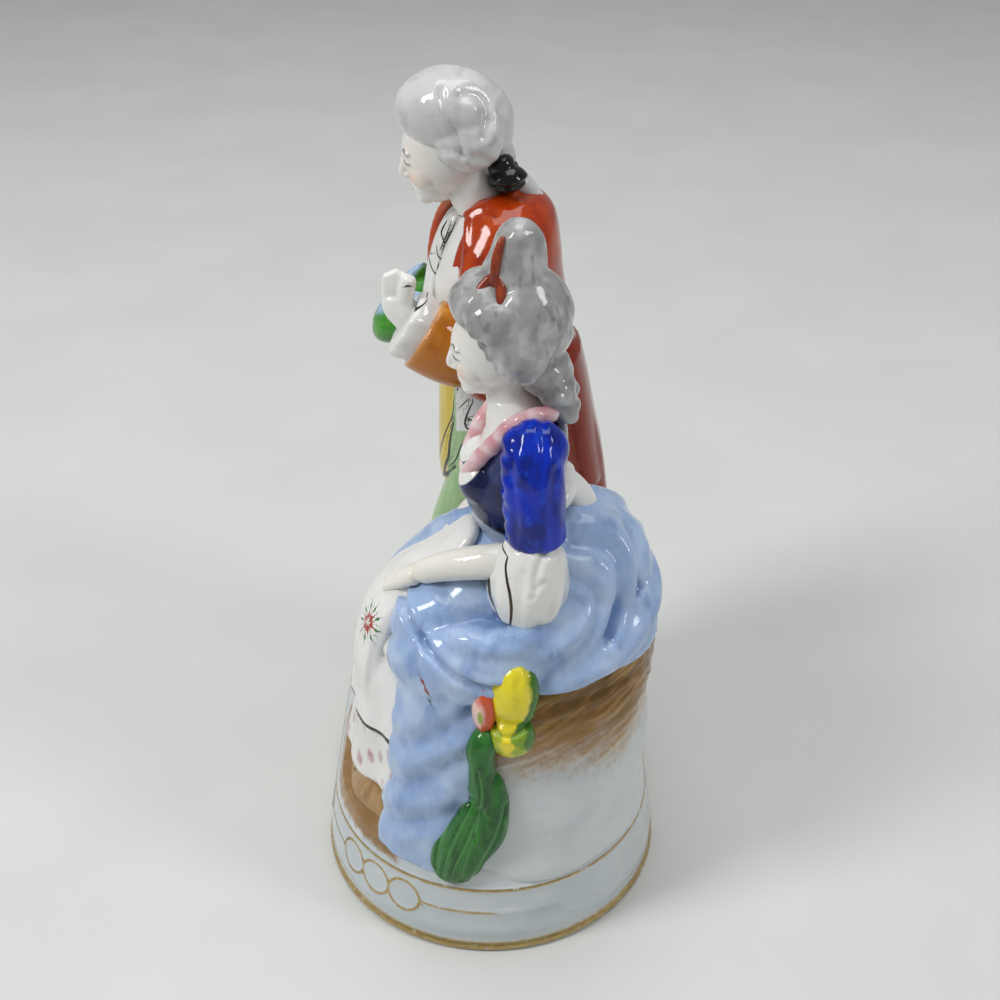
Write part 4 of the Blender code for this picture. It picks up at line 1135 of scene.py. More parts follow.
def makeSkirt():
    clay = bmesh.new()
    rings = [
        (0, 8, 59, 7, 7), (0, 3, 53.5, 14, 15), (0, -2.6, 46.4, 17, 19.4), (0, -7.4, 38.6, 17, 20),
        (1, -10, 28, 19.4, 19.2), (1.2, -12, 16, 20.8, 19.4), (1.4, -13.2, 7.2, 22.2, 20.2),
    ]
    stack(clay, rings, around=160, along=110, relief=hemFolds)
    for x in (-9, 9):
        limb(
            clay, [(x, 5, 46.6, 9), (x, -6, 44.6, 9.2), (x * 0.95, -15, 42, 8.4), (x * 0.95, -21, 38, 6.4)],
            around=48
        )
    thing = cast("petticoat", clay, 0.8, 3)
    points = pointsOf(thing.data)
    x, y, z = points.T
    dabs = np.sin(
        0.8 * x + 0.7 * y + 1.5 * np.sin(0.3 * x)
    ) * np.sin(0.8 * z + 0.4 * x + 1.2 * np.sin(0.5 * y)) - 0.55
    mark(thing, "pinkDabs", np.minimum(dabs * 2.0, 20.5 - z))
    mark(thing, "farBlue", np.minimum(z - 36 - 0.4 * (y + 20), -x - 3))
    material = glazed(
        "Porcelain, clear glazed, petticoat with pink dabs", skirt["white"],
        washes=[("#dcdad8", (8, 8, 10), 0.4, 0.7, 0.5)], poolsAndShade=("#bdbbb9", 0.7), specks=0.5,
        areas=[
            ("farBlue", skirt["blue"], 1.0, 0.8, 0.9, (4, 4, 9)),
            ("pinkDabs", skirt["pink"], 0.9, 0.5, 0.6, (3, 3, 3)),
            ("pinkDabs", "#8d4a5e", 0.4, 0.3, 0.45, (1.2, 1.2, 1.6))
        ]
    )
    fire(thing, ladyAt, material)

    clay = bmesh.new()
    lap = [
        (1.5, -2.6, 68, 5, 2), (1.8, -7, 63, 7, 2.6), (2, -12.6, 58, 8.5, 3.2), (2, -18.4, 53, 10, 4),
        (2, -22.8, 45.5, 11, 4.8), (2, -25, 36, 11.5, 5), (2, -24.4, 28, 12, 4.6), (2, -22, 21, 12, 3.4)]
    sweep(clay, lap, around=96, along=90, cap=0.08, relief=flutes(13, 0.03))
    tier = [
        (0, -2.6, 47, 16, 18), (0.4, -6, 42, 18.2, 21), (1, -8.4, 37, 19.6, 21),
        (1.2, -10.4, 29, 20.8, 20), (1.4, -11.8, 21.8, 21.8, 19.3)]
    stack(clay, tier, around=180, along=80, relief=hemFolds)
    thing = cast("apron", clay, 0.56, 3)
    points = pointsOf(thing.data)
    brush(
        thing, "ink", points,
        [
            ([(-18.8, 62.4), (-17.8, 62.4), (-16.9, 62.4)], 0.22, 0),
            ([(-17.8, 63.1), (-16, 64.0), (-14.2, 64.7)], 0.2, 0.4),
            ([(-22.8, 61.9), (-21, 63.5), (-19.1, 65.3)], 0.22, 0.3)
        ]
    )
    petals, leaves = flower((0, 0), 6, (0.8, 2.1), 0.55), flower((0, 0), 9, (2.7, 4.0), 0.36)
    # painted shadow: a dark line round the apron's hem where it lies over the petticoat, wider on the near
    # side
    drawn = np.full((len(points), 3), 9.0)
    hem = points[:, 2] - 23.5 - 0.2 * np.sin(0.7 * points[:, 0])
    low = points[:, 2] < 26
    drawn[low, 0] = (hem / (0.3 + 0.3 * rise(points[:, 0], 0, 14)))[low]
    drawn[low, 1] = np.abs(hem)[low]
    thing.data.attributes.new("hemShadow", "FLOAT_VECTOR", "POINT").data.foreach_set("vector", drawn.ravel())
    flat, close = lookingAt(points, (9.2, -25.6, 47.6), (0.5, -0.78, 0.38))
    brush(thing, "petals", flat, petals, (0, 1), close)
    brush(thing, "leaves", flat, leaves, (0, 1), close)
    material = glazed(
        "Porcelain, clear glazed, apron with flower", "#efedea",
        washes=[("#e0dfdc", (6, 6, 9), 0.4, 0.7, 0.5)], poolsAndShade=(skirt["apronGrey"], 0.85), specks=0.3,
        strokes=[
            ("leaves", skirt["leaf"], 0.4), ("petals", skirt["red"], 0.4), ("ink", skirt["ink"], 0.35),
            ("hemShadow", skirt["ink"], 0.35)
        ]
    )
    fire(thing, ladyAt, material)

    clay = bmesh.new()
    mound = [
        (0, -10, 13, 14, 13), (0.6, -11.4, 9, 19, 17), (1, -12.6, 3, 22, 19.4), (1, -13.8, -3, 23.4, 20.2),
        (1, -14, -6, 24, 20.4)
    ]
    stack(clay, mound, around=120, along=60, relief=flutes(7, 0.012, True, 5))
    thing = cast("ground", clay, 0.82, 3)
    points = pointsOf(thing.data)
    mark(thing, "earth", np.minimum(-points[:, 1] - 19.0, points[:, 0] + 19))
    material = glazed(
        "Porcelain, brushed brown ground", rock["white"],
        areas=[
            ("earth", "#a5793f", 1.2, 1.0, 0.96, None),
            ("earth", "#86602f", 1.5, 1.0, 0.7, (3.5, 3.5, 3.5)),
            ("earth", "#c9a878", 1.5, 1.0, 0.5, (2.2, 2.2, 5))
        ],
        specks=0.8, ripple=0.03
    )
    fire(thing, ladyAt, material)

    clay = bmesh.new()
    for x in (-5, 6):
        ball(clay, (x, -28.0, 2.0), (2.4, 3.9, 2.0))
    thing = cast("lady_shoes", clay, 0.41, 2)
    fire(thing, ladyAt, glazed("Porcelain, black enamel toes", "#1a1817", specks=0))


def swirl(share, angle):
    gather = 0.055 * np.sin(5 * angle + 15 * share) * rise(share, 0.1, 0.35)
    return 1 + gather - 0.03 * np.exp(-((share - 0.74) / 0.06) ** 2)


overskirt = {
    "folds": [  # drawn on the near side as y and z, pressed to a depth over a half-width
        ([(-18.2, 57.4), (-16.7, 55.4), (-14.0, 53.0), (-10.4, 50.7), (-5.9, 48.3), (-0.3, 46.5), (6, 46)],
         0.9, 0.9),
        ([(12, 83), (20.1, 80.7), (24.0, 78.8), (27.0, 76.7), (30.4, 73)], 0.85, 1.0),
        ([(13, 76), (16.3, 75.5), (20.2, 74.1), (24.7, 72.7), (27.7, 70.6), (30.5, 66), (31, 58)], 0.9, 1.0),
        ([(16, 70), (22.5, 69.2), (26, 66), (26.7, 60.2), (24, 53)], 0.8, 1.2),
        ([(12, 66), (19, 64), (22, 60), (20, 55), (14, 51)], 0.45, 1.2),
        ([(-12, 64), (-8, 60), (-2, 57.5), (4, 56)], 0.35, 1.4),
        ([(-18.4, 27.8), (-10, 33.3), (-3.8, 38.6)], 0.7, 2.0),
        ([(-21.8, 16.3), (-13.7, 21), (-6, 27.8)], 0.7, 2.2),
        ([(-21.8, 6.9), (-12.3, 11.7), (-7.1, 15.2)], 0.6, 2.0),
        ([(-9, 42), (-8.6, 34), (-9.4, 26)], 0.35, 1.6),
    ],
}


def makeOverskirt():
    clay = bmesh.new()
    puff = [
        (0, 8, 67, 9, 9), (0, 10.4, 64.4, 15, 15.4), (0, 12.2, 60, 20.4, 20.4), (0.4, 13, 55, 24.4, 23),
        (0.8, 12.8, 50, 26.2, 23.6), (0.8, 12.2, 45.6, 26.4, 23.8), (0.4, 11.6, 42.4, 25, 23.4),
        (0, 11, 40.4, 21, 20),
    ]
    stack(clay, puff, around=160, along=110, relief=swirl)
    limb(
        clay,
        [
            (10, -18.6, 43, 5.0), (15, -13.8, 44.2, 8.2), (18.6, -6.6, 45.4, 9.8), (19.4, 2, 47, 10),
            (17, 12, 50, 8)
        ],
        side=upZ, around=64, along=80
    )
    limb(
        clay,
        [
            (11, -17, 47.4, 2.8), (18, -12.2, 50.6, 3.4), (23.2, -3.5, 52.6, 3.8), (24, 6, 54.4, 3.6),
            (20, 16, 57, 3)
        ],
        side=upZ, along=72
    )
    ball(clay, (0.6, 18.4, 59), (19, 15.6, 14), pitch=-12, around=64, along=40)
    limb(
        clay,
        [
            (-6, 1, 63, 4.6), (-9.5, -6.5, 57.6, 5.6), (-11.5, -13.5, 50, 6), (-12, -18.6, 42.6, 6.4),
            (-12.4, -21, 34, 6)
        ],
        around=48
    )
    ball(clay, (-3, 4, 58), (12, 8, 7))
    limb(clay, [(11, 4, 54, 9), (11.5, -4, 53, 9.4), (12.4, -11, 50.5, 9), (13, -14, 45, 8)], around=64)
    panel = [
        (20, -10, 44, 9, 4.5), (23.4, -10.6, 34, 9.8, 4.4), (25.4, -12, 20, 10, 4.4),
        (26.6, -14, 8, 9.8, 4.2), (27.6, -16, -3.6, 10, 3.6),
    ]
    sweep(
        clay, panel, side=np.array((0.42, 0.91, 0)), around=72, along=80, cap=0.05,
        relief=flutes(7, 0.05, True)
    )

    def tooled(points):
        far = points * np.array((-1, 1, 1))
        gathers = 0.18 * np.sin(
            2.4 * np.arctan2(points[:, 2] - 60, points[:, 1] - 4) * 5 + 0.35 * points[:, 0]
        )
        return (1.35 * creases(points, overskirt["folds"]) + 0.7 * creases(far, overskirt["folds"][1:6])
                + gathers * rise(points[:, 2], 44, 58) * 0.6)

    thing = cast("overskirt", clay, 0.72, 3, tooled)
    points = pointsOf(thing.data)
    brush(
        thing, "marks", points,
        [
            ([(-13.8, 46.2), (-13.1, 44.8)], 0.4, 0.2),
            ([(-12.9, 44.2), (-12.7, 43.3), (-12.1, 42.1)], 0.42, -0.3)
        ],
        where=points[:, 0] > 5
    )
    brush(thing, "dot", points, [([(-12.4, 40.4), (-12.0, 40.0)], 0.4, 0)], where=points[:, 0] > 5)
    brush(thing, "squiggle", points, [
        ([(14.5, 76.0), (15.3, 76.3), (15.5, 75.5), (14.8, 75.0), (15.2, 74.2), (15.8, 74.6)], 0.16, 0)],
        where=points[:, 0] > 5)
    material = glazed(
        "Porcelain, pale blue enamel wash", skirt["blue"],
        washes=[
            (skirt["blueLight"], (11, 9, 12), 0.42, 0.68, 0.8),
            (skirt["blueDeep"], (7, 6, 9), 0.5, 0.74, 0.7), ("#b4c8e6", (1.6, 1.4, 9), 0.5, 0.75, 0.45),
            ("#7f9cc9", (1.2, 1.2, 7), 0.56, 0.8, 0.35)
        ],
        poolsAndShade=("#6484b8", 0.9), thinAndHighlight=("#e4edf6", 0.85), specks=0.7,
        strokes=[("marks", "#8c3a34", 0.5), ("dot", "#2b4a35", 0.5), ("squiggle", "#1f3c74", 0.5)]
    )
    fire(thing, ladyAt, material)


# Lady: bodice, sleeves and hands

bodice = {
    "navy": "#16235c", "navyDark": "#0f1639", "haze": "#3b4a82", "cobalt": "#022bb4", "cobaltDeep": "#03176f",
    "cobaltLight": "#1450da", "pink": "#d98f98", "rose": "#c25460",
}


def makeBodice():
    clay = bmesh.new()
    torso = [
        (0, 3.4, 98, 4.2, 4.2), (0, 5.5, 94.6, 7.5, 5.6), (0, 7.6, 91.4, 12.4, 7.6),
        (0, 6.8, 85, 12.8, 9.2), (0, 5, 78, 12, 10.6), (0, 5.6, 71, 10.2, 9.6), (0, 7, 64, 8.8, 8.2),
        (0, 7, 58, 9.8, 9.2), (0, 7, 53, 11, 10.4),
    ]
    stack(clay, torso, around=96, along=80)
    for x in (-4.6, 4.6):
        ball(clay, (x, -1.4, 80), (5.2, 4.8, 5))
    basque = [(0, 7, 66, 9, 8.6), (0, 7.4, 62.5, 10.6, 10.2), (0, 7.6, 60.5, 10.4, 10.2)]
    stack(clay, basque, along=40, cap=0.2, relief=flutes(9, 0.03, True))
    thing = cast("bodice", clay, 0.48, 3)
    points = pointsOf(thing.data)
    x, y, z = points.T
    neckline = np.interp(y, [-6, -1.5, 0.3, 4.2, 8.0, 14], [81.0, 85.6, 89.4, 93.2, 95.2, 95.6])
    mark(thing, "skin", z - neckline + 1.2)
    mark(thing, "waist", np.where(y < 7, 71.0 - 0.45 * y - z, -3))
    brush(
        thing, "chain", points,
        [
            (
                [
                    (-1.0, 71.4), (-0.4, 72.6), (0.3, 71.2), (1.0, 72.3), (1.7, 70.8), (2.4, 71.8),
                    (3.1, 70.2), (3.8, 71.2), (4.4, 69.8)
                ],
                0.24, 0
            )
        ],
        where=np.abs(x) > 1
    )
    material = glazed(
        "Porcelain, navy enamel bodice", bodice["navy"],
        washes=[
            (bodice["navyDark"], (5, 5, 6), 0.4, 0.68, 0.8),
            (bodice["haze"], (2.2, 2.2, 2.8), 0.52, 0.78, 0.5), ("#6672a8", (0.7, 0.7, 0.7), 0.64, 0.8, 0.5)
        ],
        poolsAndShade=("#0d1236", 0.6), thinAndHighlight=("#5a6aa8", 0.4),
        areas=[("waist", "#b9c4d6", 0.5, 0.4, 0.9, None), ("skin", face["skin"], 0.2, 0.1, 1.0, None)],
        strokes=[("chain", "#0b0a0c", 0.4)]
    )
    fire(thing, ladyAt, material)
    clay = bmesh.new()
    edge = [
        (0, -4.6, 77.4, 1.3), (2.4, -5.0, 78.8, 1.3), (5.2, -4.0, 82.4, 1.5), (7.4, -1.6, 87, 1.7),
        (8.4, 1.4, 90.8, 1.8), (8.8, 4.4, 94.4, 1.8), (8.6, 7.6, 96.2, 1.8), (7, 11.2, 96.2, 1.8),
        (4, 12.8, 95.6, 1.8), (0, 13.2, 95.2, 1.8)
    ]
    for stations in mirrored(edge):
        limb(
            clay, stations, around=32, along=96, relief=lambda share,
            angle: 1 + 0.05 * np.sin(64 * share) * rise(share, 0, 0.2)
        )
    thing = cast("neckline_ruffle", clay, 0.36, 2)
    points = pointsOf(thing.data)
    stripes = np.sin(1.3 * points[:, 1] + 1.1 * points[:, 2])
    mark(thing, "rose", stripes * 0.8 + 0.1)
    material = glazed(
        "Porcelain, pink edged neckline ruffle", "#e9c9cc",
        washes=[(bodice["pink"], (3, 3, 2.5), 0.34, 0.58, 0.9)], poolsAndShade=(bodice["rose"], 0.6),
        thinAndHighlight=("#f6efee", 0.8), areas=[("rose", bodice["rose"], 1.2, 0.9, 0.32, (2, 2, 2))]
    )
    fire(thing, ladyAt, material)


def makeLadyArms():
    for side in (-1, 1):
        label = "left" if side > 0 else "right"
        clay = bmesh.new()
        sleeve = [
            (8.6 * side, 7.8, 92.4, 4.8), (13 * side, 8.4, 89.6, 6.2), (15.4 * side, 8.8, 81, 6.1),
            (16.4 * side, 9.4, 72, 5.9),
        ]
        ball(clay, (11.8 * side, 9.0, 91.6), (5.2, 6.6, 5.6), pitch=-8)
        limb(clay, sleeve, around=56, along=64, cap=0.1, relief=flutes(6, 0.02, True, 20))
        thing = cast(
            f"sleeve_{label}", clay, 0.46, 3,
            lambda p: creases(
                p * np.array((side, 1, 1)),
                [
                    ([(5.5, 97), (4.6, 93), (4.4, 88), (5.2, 82), (5.0, 76)], 0.25, 0.8),
                    ([(10.2, 97.5), (10.4, 93), (9.6, 89)], 0.35, 0.8),
                    ([(12.6, 90), (12.0, 82), (12.6, 75)], 0.2, 0.9)
                ]
            ) + 0.13 * np.sin(1.9 * p[:, 2]) * rise(p[:, 1], 5.0, 3.0)
        )
        points = pointsOf(thing.data)
        mark(thing, "sleeveHem", 73.5 + 0.35 * np.sin(2.2 * points[:, 1]) - points[:, 2])
        material = glazed(
            f"Porcelain, cobalt enamel, {label} sleeve", bodice["cobalt"],
            washes=[
                (bodice["cobaltDeep"], (4.5, 4.5, 8), 0.42, 0.66, 0.85),
                (bodice["cobaltLight"], (2.2, 2.2, 3), 0.52, 0.78, 0.6)
            ],
            poolsAndShade=(bodice["cobaltDeep"], 0.7), thinAndHighlight=("#2f5fd8", 0.5),
            areas=[("sleeveHem", "#eceae6", 0.15, 0.2, 1.0, None)]
        )
        fire(thing, ladyAt, material)

        clay = bmesh.new()
        ruffle = [
            (16.6 * side, 9.4, 73.4, 5.4), (17.2 * side, 8.4, 68, 7.4), (18 * side, 7.6, 62, 8),
            (18.6 * side, 6.4, 56, 5.6),
        ]
        limb(clay, ruffle, around=72, along=60, cap=0.1, relief=flutes(8, 0.05))
        thing = cast(
            f"elbow_ruffle_{label}", clay, 0.42, 3,
            lambda p: creases(
                p * np.array((side, 1, 1)),
                [
                    ([(11.5, 75), (9.6, 71.5), (8.8, 68)], 0.4, 0.7),
                    ([(8.4, 66), (9.2, 67.3), (10.4, 68.5)], 0.3, 0.6),
                    ([(14, 71), (13, 66), (11.5, 61)], 0.3, 0.9),
                    ([(6.5, 70), (6.0, 64), (6.2, 59)], 0.25, 1.0)
                ]
            )
        )
        points = pointsOf(thing.data)
        brush(
            thing, "zigzag", points * np.array((side, 1, 1)),
            [
                ([(0.4, 77.1), (0.5, 75.8), (1.1, 73.7), (1.2, 72.9)], 0.34, -0.6),
                ([(1.1, 72.8), (2.4, 72.4), (3.7, 72.2)], 0.2, 0),
                (
                    [
                        (3.7, 72.2), (3.3, 70.5), (3.6, 68.3), (4.1, 66.1), (4.4, 63.1), (4.3, 59.3),
                        (4.1, 56.9)
                    ],
                    0.32, 0
                ),
                (
                    [(4.1, 56.9), (3.4, 57.3), (1.8, 59.3), (0.3, 62.4), (-0.1, 65.7), (-0.4, 68.8)], 0.38,
                    0.3
                )
            ],
            where=points[:, 0] * side > 12
        )
        material = glazed(
            f"Porcelain, clear glazed, {label} elbow ruffle", "#ecebe6",
            washes=[("#dddcd8", (5, 5, 6), 0.4, 0.7, 0.5)], poolsAndShade=("#b9b8b4", 0.6),
            strokes=[("zigzag", "#3b2f1c", 0.25)]
        )
        fire(thing, ladyAt, material)

        clay = bmesh.new()
        if side > 0:
            forearm = [(16, 8, 68, 4), (15.2, -1, 67.2, 3.6), (13, -9, 64.6, 3.1), (10.4, -15, 61, 2.5)]
            palm = [(10.8, -14.2, 61.4, 2.5, 2.2), (8.8, -17.2, 59.4, 3.0, 1.9), (7.4, -18.8, 58, 2.8, 1.7)]
            fingerRoot, fingerTip = Vector((7.6, -18.5, 58.2)), Vector((4.4, -22.2, 53.6))
        else:
            forearm = [(-16, 8, 67.4, 4), (-14, 1, 65, 3.7), (-10, -5, 61, 3.3), (-5, -9.6, 58, 2.6)]
            palm = [(-5.4, -9.4, 58.2, 2.5, 2.2), (-2.6, -11.6, 57, 2.9, 1.9), (-0.9, -12.6, 56.4, 2.7, 1.6)]
            fingerRoot, fingerTip = Vector((-1.2, -12.4, 56.5)), Vector((2.8, -15, 54.2))
        limb(clay, forearm, around=40, along=60)
        sweep(clay, palm)
        for finger in (-1.5, -0.5, 0.5, 1.5):
            shift = Vector((1.25 * finger, 0, 0)) if side > 0 else Vector((0.5 * finger, 1.1 * finger, 0))
            limb(
                clay,
                [
                    (*(fingerRoot + shift), 1.25),
                    (*(fingerRoot.lerp(fingerTip, 0.55) + shift * 0.9 + Vector((0, 0, 0.35))), 1.1),
                    (*(fingerTip + shift * 0.75), 0.9)
                ],
                around=20, along=26, cap=0.2
            )
        thing = cast(f"lady_arm_{label}", clay, 0.36, 2)
        material = glazed(
            f"Porcelain, clear glazed, lady's {label} forearm", "#eeebe2", poolsAndShade=("#c9c0b0", 0.5),
            washes=[("#f0e6d6", (8, 8, 8), 0.4, 0.7, 0.6)], specks=0.25
        )
        fire(thing, ladyAt, material)


def makeSash():
    clay = bmesh.new()
    for stations in mirrored(
        [
            (1, 15.4, 75.6, 1.8, 2.0), (3.6, 15.4, 77, 2.4, 2.2), (6.2, 14.8, 76.4, 2.0, 2.0),
            (7.6, 14.2, 75, 1.3, 1.5)
        ]
    ):
        sweep(clay, stations, side=backY, relief=flutes(5, 0.05))
    sweep(
        clay,
        [
            (0, 12.5, 78.0, 3.2, 2.6), (0, 15.4, 76.8, 3.8, 3), (0, 17.8, 73.4, 4.2, 3.6),
            (0, 19.4, 69.6, 4.4, 3.6)
        ],
        relief=flutes(5, 0.05)
    )
    thing = cast("sash_bow", clay, 0.46, 3)
    fire(
        thing, ladyAt, glazed("Porcelain, clear glazed, sash", "#ecebe7", poolsAndShade=("#b9bcc0", 0.6)),
    )


def makeLadyHead():
    clay = bmesh.new()
    limb(clay, [(0, 6, 90, 7), (0, 4.8, 94.4, 5.6), (0, 3.6, 98.6, 4.3), (0, 3.4, 104, 4.2)], around=48)
    where = addHead(clay, (0, 0.4, 107.0), 19.2, 8)
    thing = cast("lady_head", clay, face["grain"], 7)
    paintFace(thing, where, pointsOf(thing.data))
    fire(thing, ladyAt, skinGlaze("Porcelain, clear glazed, lady's face"))


def makeHair():
    clay = bmesh.new()
    ball(clay, (0, 6.2, 112.8), (10.4, 10.2, 11.2), pitch=-6, around=56, along=40)
    ball(clay, (0, -0.6, 117.0), (8.8, 6.8, 5.8))
    limb(
        clay, [(0, 4.6, 119, 8), (0, 5.4, 124, 5.8), (0, 5.8, 129, 4.7), (0, 6, 132.8, 3.2)], cap=0.3,
        around=48, relief=flutes(5, 0.05, True, 6)
    )
    for centre, radii in (
        ((0, 10.6, 102.4), (6.6, 5.8, 5)), ((3, 13.4, 99.4), (5, 3.8, 3.8)),
        ((-3, 13.2, 99.6), (5, 3.8, 3.8)), ((3.4, 15, 95.6), (3.6, 3, 3.2)), ((-3, 15, 96), (3.6, 3, 3.2)),
    ):
        ball(clay, centre, radii)
    for side in (-1, 1):
        ball(clay, (8.4 * side, 6.4, 109), (3.0, 5.2, 5.6))
        ball(clay, (7.6 * side, 0.6, 115.4), (2.8, 4.6, 4.0))

    def tooled(points):
        swept = waves(points, (0, -2, 104), 11, 0.5, 0.2) + waves(points, (0, 2, 100), 23, 0.7, 0.07)
        curls = 0.25 * np.sin(1.5 * points[:, 2] + 1.1 * points[:, 1] + 0.6 * np.sin(points[:, 0]))
        low = rise(points[:, 2], 106, 102) * rise(points[:, 1], 6, 9)
        return swept * (1 - low) + curls * low

    thing = cast("hair", clay, 0.43, 3, tooled)
    material = glazed(
        "Porcelain, mottled grey enamel hair", "#9c9c9a",
        washes=[
            ("#c2c3c1", (5, 4, 5), 0.42, 0.66, 0.85), ("#6e6c6b", (2.2, 2.2, 4), 0.5, 0.74, 0.7),
            ("#a5a19e", (1, 1, 4), 0.5, 0.8, 0.4)
        ],
        poolsAndShade=("#5a5857", 0.8), thinAndHighlight=("#c6c7c7", 0.6), specks=0.3
    )
    fire(thing, ladyAt, material)
    clay = bmesh.new()
    for petal in (
        [
            (4.4, 1.0, 121, 0.7, 0.8), (4.8, 1.2, 124, 0.95, 0.9), (4.2, 1.7, 127.4, 1.0, 0.9),
            (3.2, 2.8, 131, 0.6, 0.7)
        ],
        [
            (4.6, 1.6, 124, 0.6, 0.7), (5.8, 2.4, 121.4, 1.05, 0.9), (7.2, 2.2, 117.4, 1.0, 0.9),
            (7.8, 1.6, 114.6, 0.6, 0.6)
        ],
        [
            (4.2, 1.0, 124, 0.6, 0.7), (4.6, -0.8, 122, 0.9, 0.8), (5.6, -2.6, 119.2, 0.95, 0.8),
            (6, -3.6, 117.2, 0.5, 0.6)
        ],
    ):
        sweep(clay, petal, side=backY)
    thing = cast("hair_ribbon", clay, 0.3, 2)
    material = glazed(
        "Porcelain, red-brown enamel ribbon", "#7d2812", washes=[("#a8451f", (2, 2, 3), 0.45, 0.7, 0.8)],
        poolsAndShade=("#4a140a", 0.7), thinAndHighlight=("#b5674a", 0.15)
    )
    fire(thing, ladyAt, material)


# Sprig of flowers on the rock

sprig = {
    "yellow": "#f0df34", "green": "#2a6e28", "leafDark": "#14451c", "leafLight": "#6fa65a",
    "petal": "#d4532a", "blossom": "#efc9bd"
}


def makeSprig():
    clay = bmesh.new()
    ball(clay, (27.4, 5, 43.0), (4.2, 5.1, 7.9), pitch=-6, around=48, along=36)
    ball(clay, (29.2, 4.6, 33.8), (4.0, 4.9, 4.8))
    thing = cast(
        "flower_bud", clay, 0.34, 3,
        lambda p: creases(
            p,
            [
                ([(0.4, 37.5), (3, 36.2), (6.5, 37.0), (9, 38)], 0.5, 0.5),
                ([(7.5, 50.5), (8.5, 44.5), (7.6, 39.7)], 0.3, 0.6)
            ]
        )
    )
    points = pointsOf(thing.data)
    y, z = points[:, 1], points[:, 2]
    mark(thing, "greenSide", y - np.interp(z, [30, 36, 40, 44, 50], [9.5, 4.2, 7.4, 8.6, 7.6]))
    mark(thing, "knobYellow", np.where(z < 37, 1.2 * np.sin(1.3 * y) + 0.6 * np.sin(1.6 * z), -3))
    material = glazed(
        "Porcelain, yellow enamel bud", sprig["yellow"], washes=[("#cfc02a", (3, 3, 5), 0.45, 0.7, 0.7)],
        poolsAndShade=("#8c8a20", 0.6),
        areas=[
            ("greenSide", sprig["green"], 0.5, 0.8, 0.95, None),
            ("knobYellow", "#8fae2e", 0.7, 0.5, 0.8, None)
        ]
    )
    fire(thing, ladyAt, material)

    clay = bmesh.new()
    ball(
        clay, (28.4, -1.0, 40.2), (2.8, 2.5, 5.9), around=60, relief=lambda share,
        angle: 1 + 0.04 * np.cos(5 * angle)
    )
    thing = cast("blossom", clay, 0.3, 2)
    points = pointsOf(thing.data)
    y, z = points[:, 1], points[:, 2]
    mark(thing, "petalRim", np.hypot((y + 2.6) / 2.4, (z - 40.4) / 5.2) * 2.0 - 1.3)
    mark(thing, "eye", 0.75 - np.hypot((y + 1.8) / 0.75, (z - 40.2) / 2.0))
    material = glazed(
        "Porcelain, orange and pink enamel blossom", sprig["blossom"],
        washes=[("#e59a80", (2, 2, 2), 0.5, 0.75, 0.8)],
        areas=[("petalRim", sprig["petal"], 0.5, 0.5, 0.95, None), ("eye", "#8fae2e", 0.2, 0.2, 0.9, None)]
    )
    fire(thing, ladyAt, material)

    clay = bmesh.new()
    limb(
        clay,
        [
            (29, 0.4, 35.6, 2.8), (29.8, -1.6, 31, 3.2), (30.4, -1.6, 27, 2.8), (30.8, -1.4, 22, 3),
            (31.6, -1, 16, 3.2)
        ],
        around=40
    )
    leafSide = np.array((0.1, 0.9, 0.35))
    for leaf in (
        [
            (30.6, 0.4, 25, 2.2, 1.8), (31.6, 0.6, 17, 3.6, 2.4), (32.6, -1.0, 9, 4.2, 2.6),
            (33.2, -4.6, 1.4, 2.4, 1.8)
        ],
        [
            (31.4, -1.6, 18, 2.4, 2), (32.4, -4.6, 9, 5.2, 2.8), (33.2, -7.4, 1.4, 5.6, 2.8),
            (33.6, -8.6, -3.6, 3, 2)
        ],
    ):
        sweep(clay, leaf, side=leafSide, around=56, along=60)
    veins = [
        [(-3.2, 21.0), (-6.6, 15.7), (-10.1, 8.2), (-11.5, 1.3)],
        [(-3.0, 18.3), (-5.7, 13.0), (-8.7, 5.5), (-10.1, -0.9)],
        [(-2.8, 15.0), (-4.8, 8.9), (-7.3, 2.7), (-8.4, -2.3)],
        [(-3.1, 11.0), (-4.3, 6.8), (-5.6, 1.3), (-5.9, -1.6)],
        [(-2.2, 27.1), (-1.5, 21.9), (-2.3, 15.3), (-3.1, 9.9)],
        [(3.2, 18.3), (1.5, 11.6), (-1.9, 2.7), (-3.9, -1.6)]
    ]
    thing = cast(
        "stem_and_leaves", clay, 0.34, 3,
        lambda p: creases(p, [(vein, 0.3, 0.5) for vein in veins], near=False)
    )
    points = pointsOf(thing.data)
    brush(thing, "veins", points, [(vein, 0.24, 0) for vein in veins])
    material = glazed(
        "Porcelain, green enamel leaves", sprig["green"],
        washes=[(sprig["leafDark"], (3, 3, 7), 0.42, 0.66, 0.8), ("#479432", (2, 2, 5), 0.55, 0.8, 0.6)],
        poolsAndShade=(sprig["leafDark"], 0.7), thinAndHighlight=(sprig["leafLight"], 0.6),
        strokes=[("veins", "#4c8e45", 0.9)]
    )
    fire(thing, ladyAt, material)


for step in (
    makePlinth, makeRock, makeCoat, makeCuffs, makeWaistcoat, makeJabot, makeLegs, makeGentlemanHead,
    makeWig, makeHands, makeHat, makeSkirt, makeOverskirt, makeBodice, makeLadyArms, makeSash, makeLadyHead,
    makeHair, makeSprig,
):
    step()
    print(f"{step.__name__[4:].lower()} made", flush=True)
for mesh, _, _ in blanks.values():
    bpy.data.meshes.remove(mesh)


# Table, light and camera

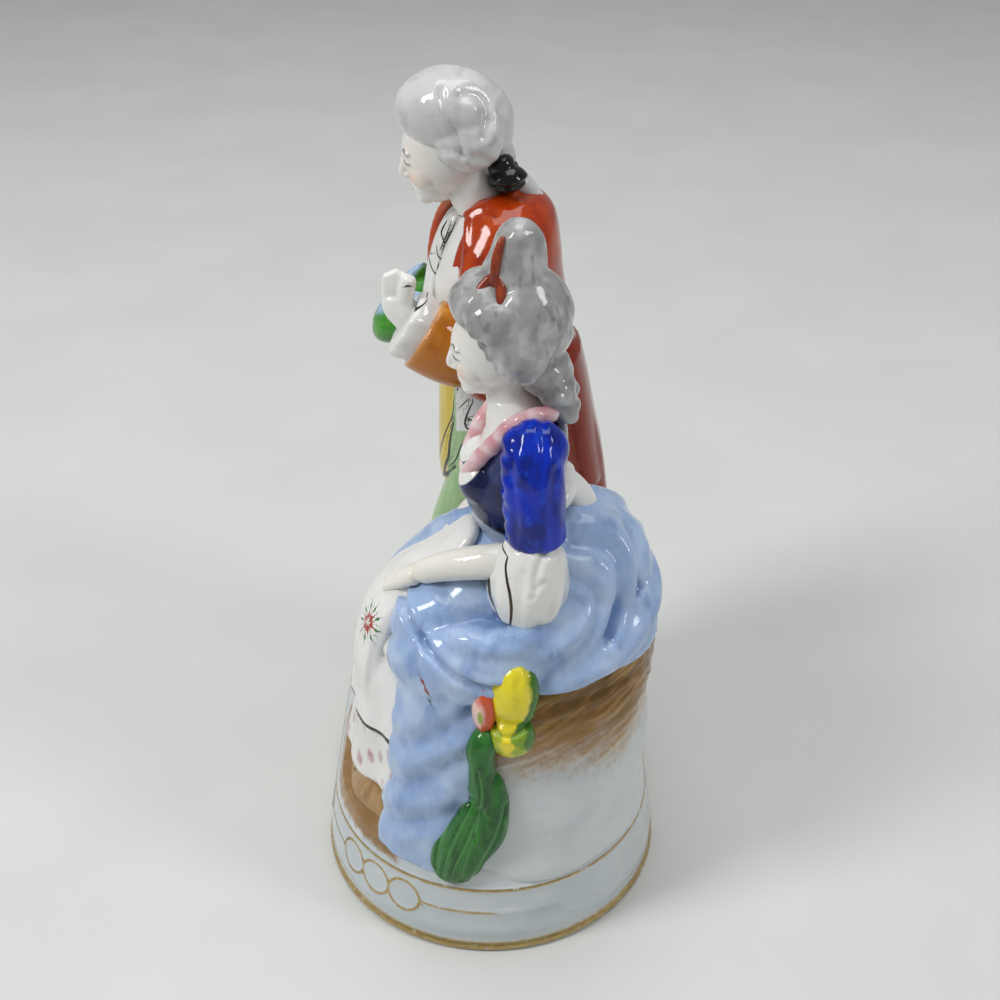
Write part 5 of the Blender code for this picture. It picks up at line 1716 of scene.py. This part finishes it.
studio = {
    "table": "#d5d6d3", "world": "#dfe3e6", "worldStrength": 0.36,
    "eye": (0.2460988, 0.0022, 0.2379094), "tilt": 32.2, "lens": 46.8,
    "lamps": [  # name, place, aim, size in m, watts
        ("window", (0.25, -0.7, 0.85), (0.0, 0.0, 0.08), (0.26, 0.4), 5.4),
        ("second window", (0.3, 0.75, 0.75), (0.0, 0.0, 0.08), (0.2, 0.34), 2.2),
        ("ceiling", (-0.2, 0.0, 1.2), (0.0, 0.0, 0.0), (0.8, 0.8), 5.4),
    ],
}


def setStage():
    ground = bmesh.new()
    bmesh.ops.create_grid(ground, x_segments=2, y_segments=2, size=3.0)
    mesh = bpy.data.meshes.new("table")
    ground.to_mesh(mesh)
    ground.free()
    table = bpy.data.objects.new("table", mesh)
    bpy.context.scene.collection.objects.link(table)
    material = bpy.data.materials.new("Pale painted table top")
    material.use_nodes = True
    tree = material.node_tree
    shader = tree.nodes["Principled BSDF"]
    place = add(tree, "ShaderNodeTexCoord").outputs["Object"]
    tree.links.new(
        over(
            tree, ramp(tree, clouds(tree, place, (60, 60, 60)), 0.3, 0.7, 0.5), linear(studio["table"]),
            linear("#dddedb")
        ),
        shader.inputs["Base Color"]
    )
    shader.inputs["Roughness"].default_value = 0.55
    mesh.materials.append(material)
    for name, place, aim, size, watts in studio["lamps"]:
        lamp = bpy.data.lights.new(name, "AREA")
        lamp.shape = "RECTANGLE"
        lamp.size, lamp.size_y = size
        lamp.energy = watts
        holder = bpy.data.objects.new(name, lamp)
        holder.location = place
        holder.rotation_euler = (Vector(aim) - Vector(place)).to_track_quat("-Z", "Y").to_euler()
        bpy.context.scene.collection.objects.link(holder)
    world = bpy.data.worlds.new("studio")
    world.use_nodes = True
    world.node_tree.nodes["Background"].inputs["Color"].default_value = linear(studio["world"])
    world.node_tree.nodes["Background"].inputs["Strength"].default_value = studio["worldStrength"]
    bpy.context.scene.world = world
    bpy.context.scene.view_settings.view_transform = "Standard"
    lens = bpy.data.cameras.new("camera")
    lens.lens, lens.sensor_width = studio["lens"], 36.0
    lens.clip_start, lens.clip_end = 0.02, 20.0
    camera = bpy.data.objects.new("camera", lens)
    camera.location = studio["eye"]
    camera.rotation_euler = (math.radians(90 - studio["tilt"]), 0.0, math.radians(90))
    bpy.context.scene.collection.objects.link(camera)
    bpy.context.scene.camera = camera


setStage()
print("table, lamps and camera set", flush=True)
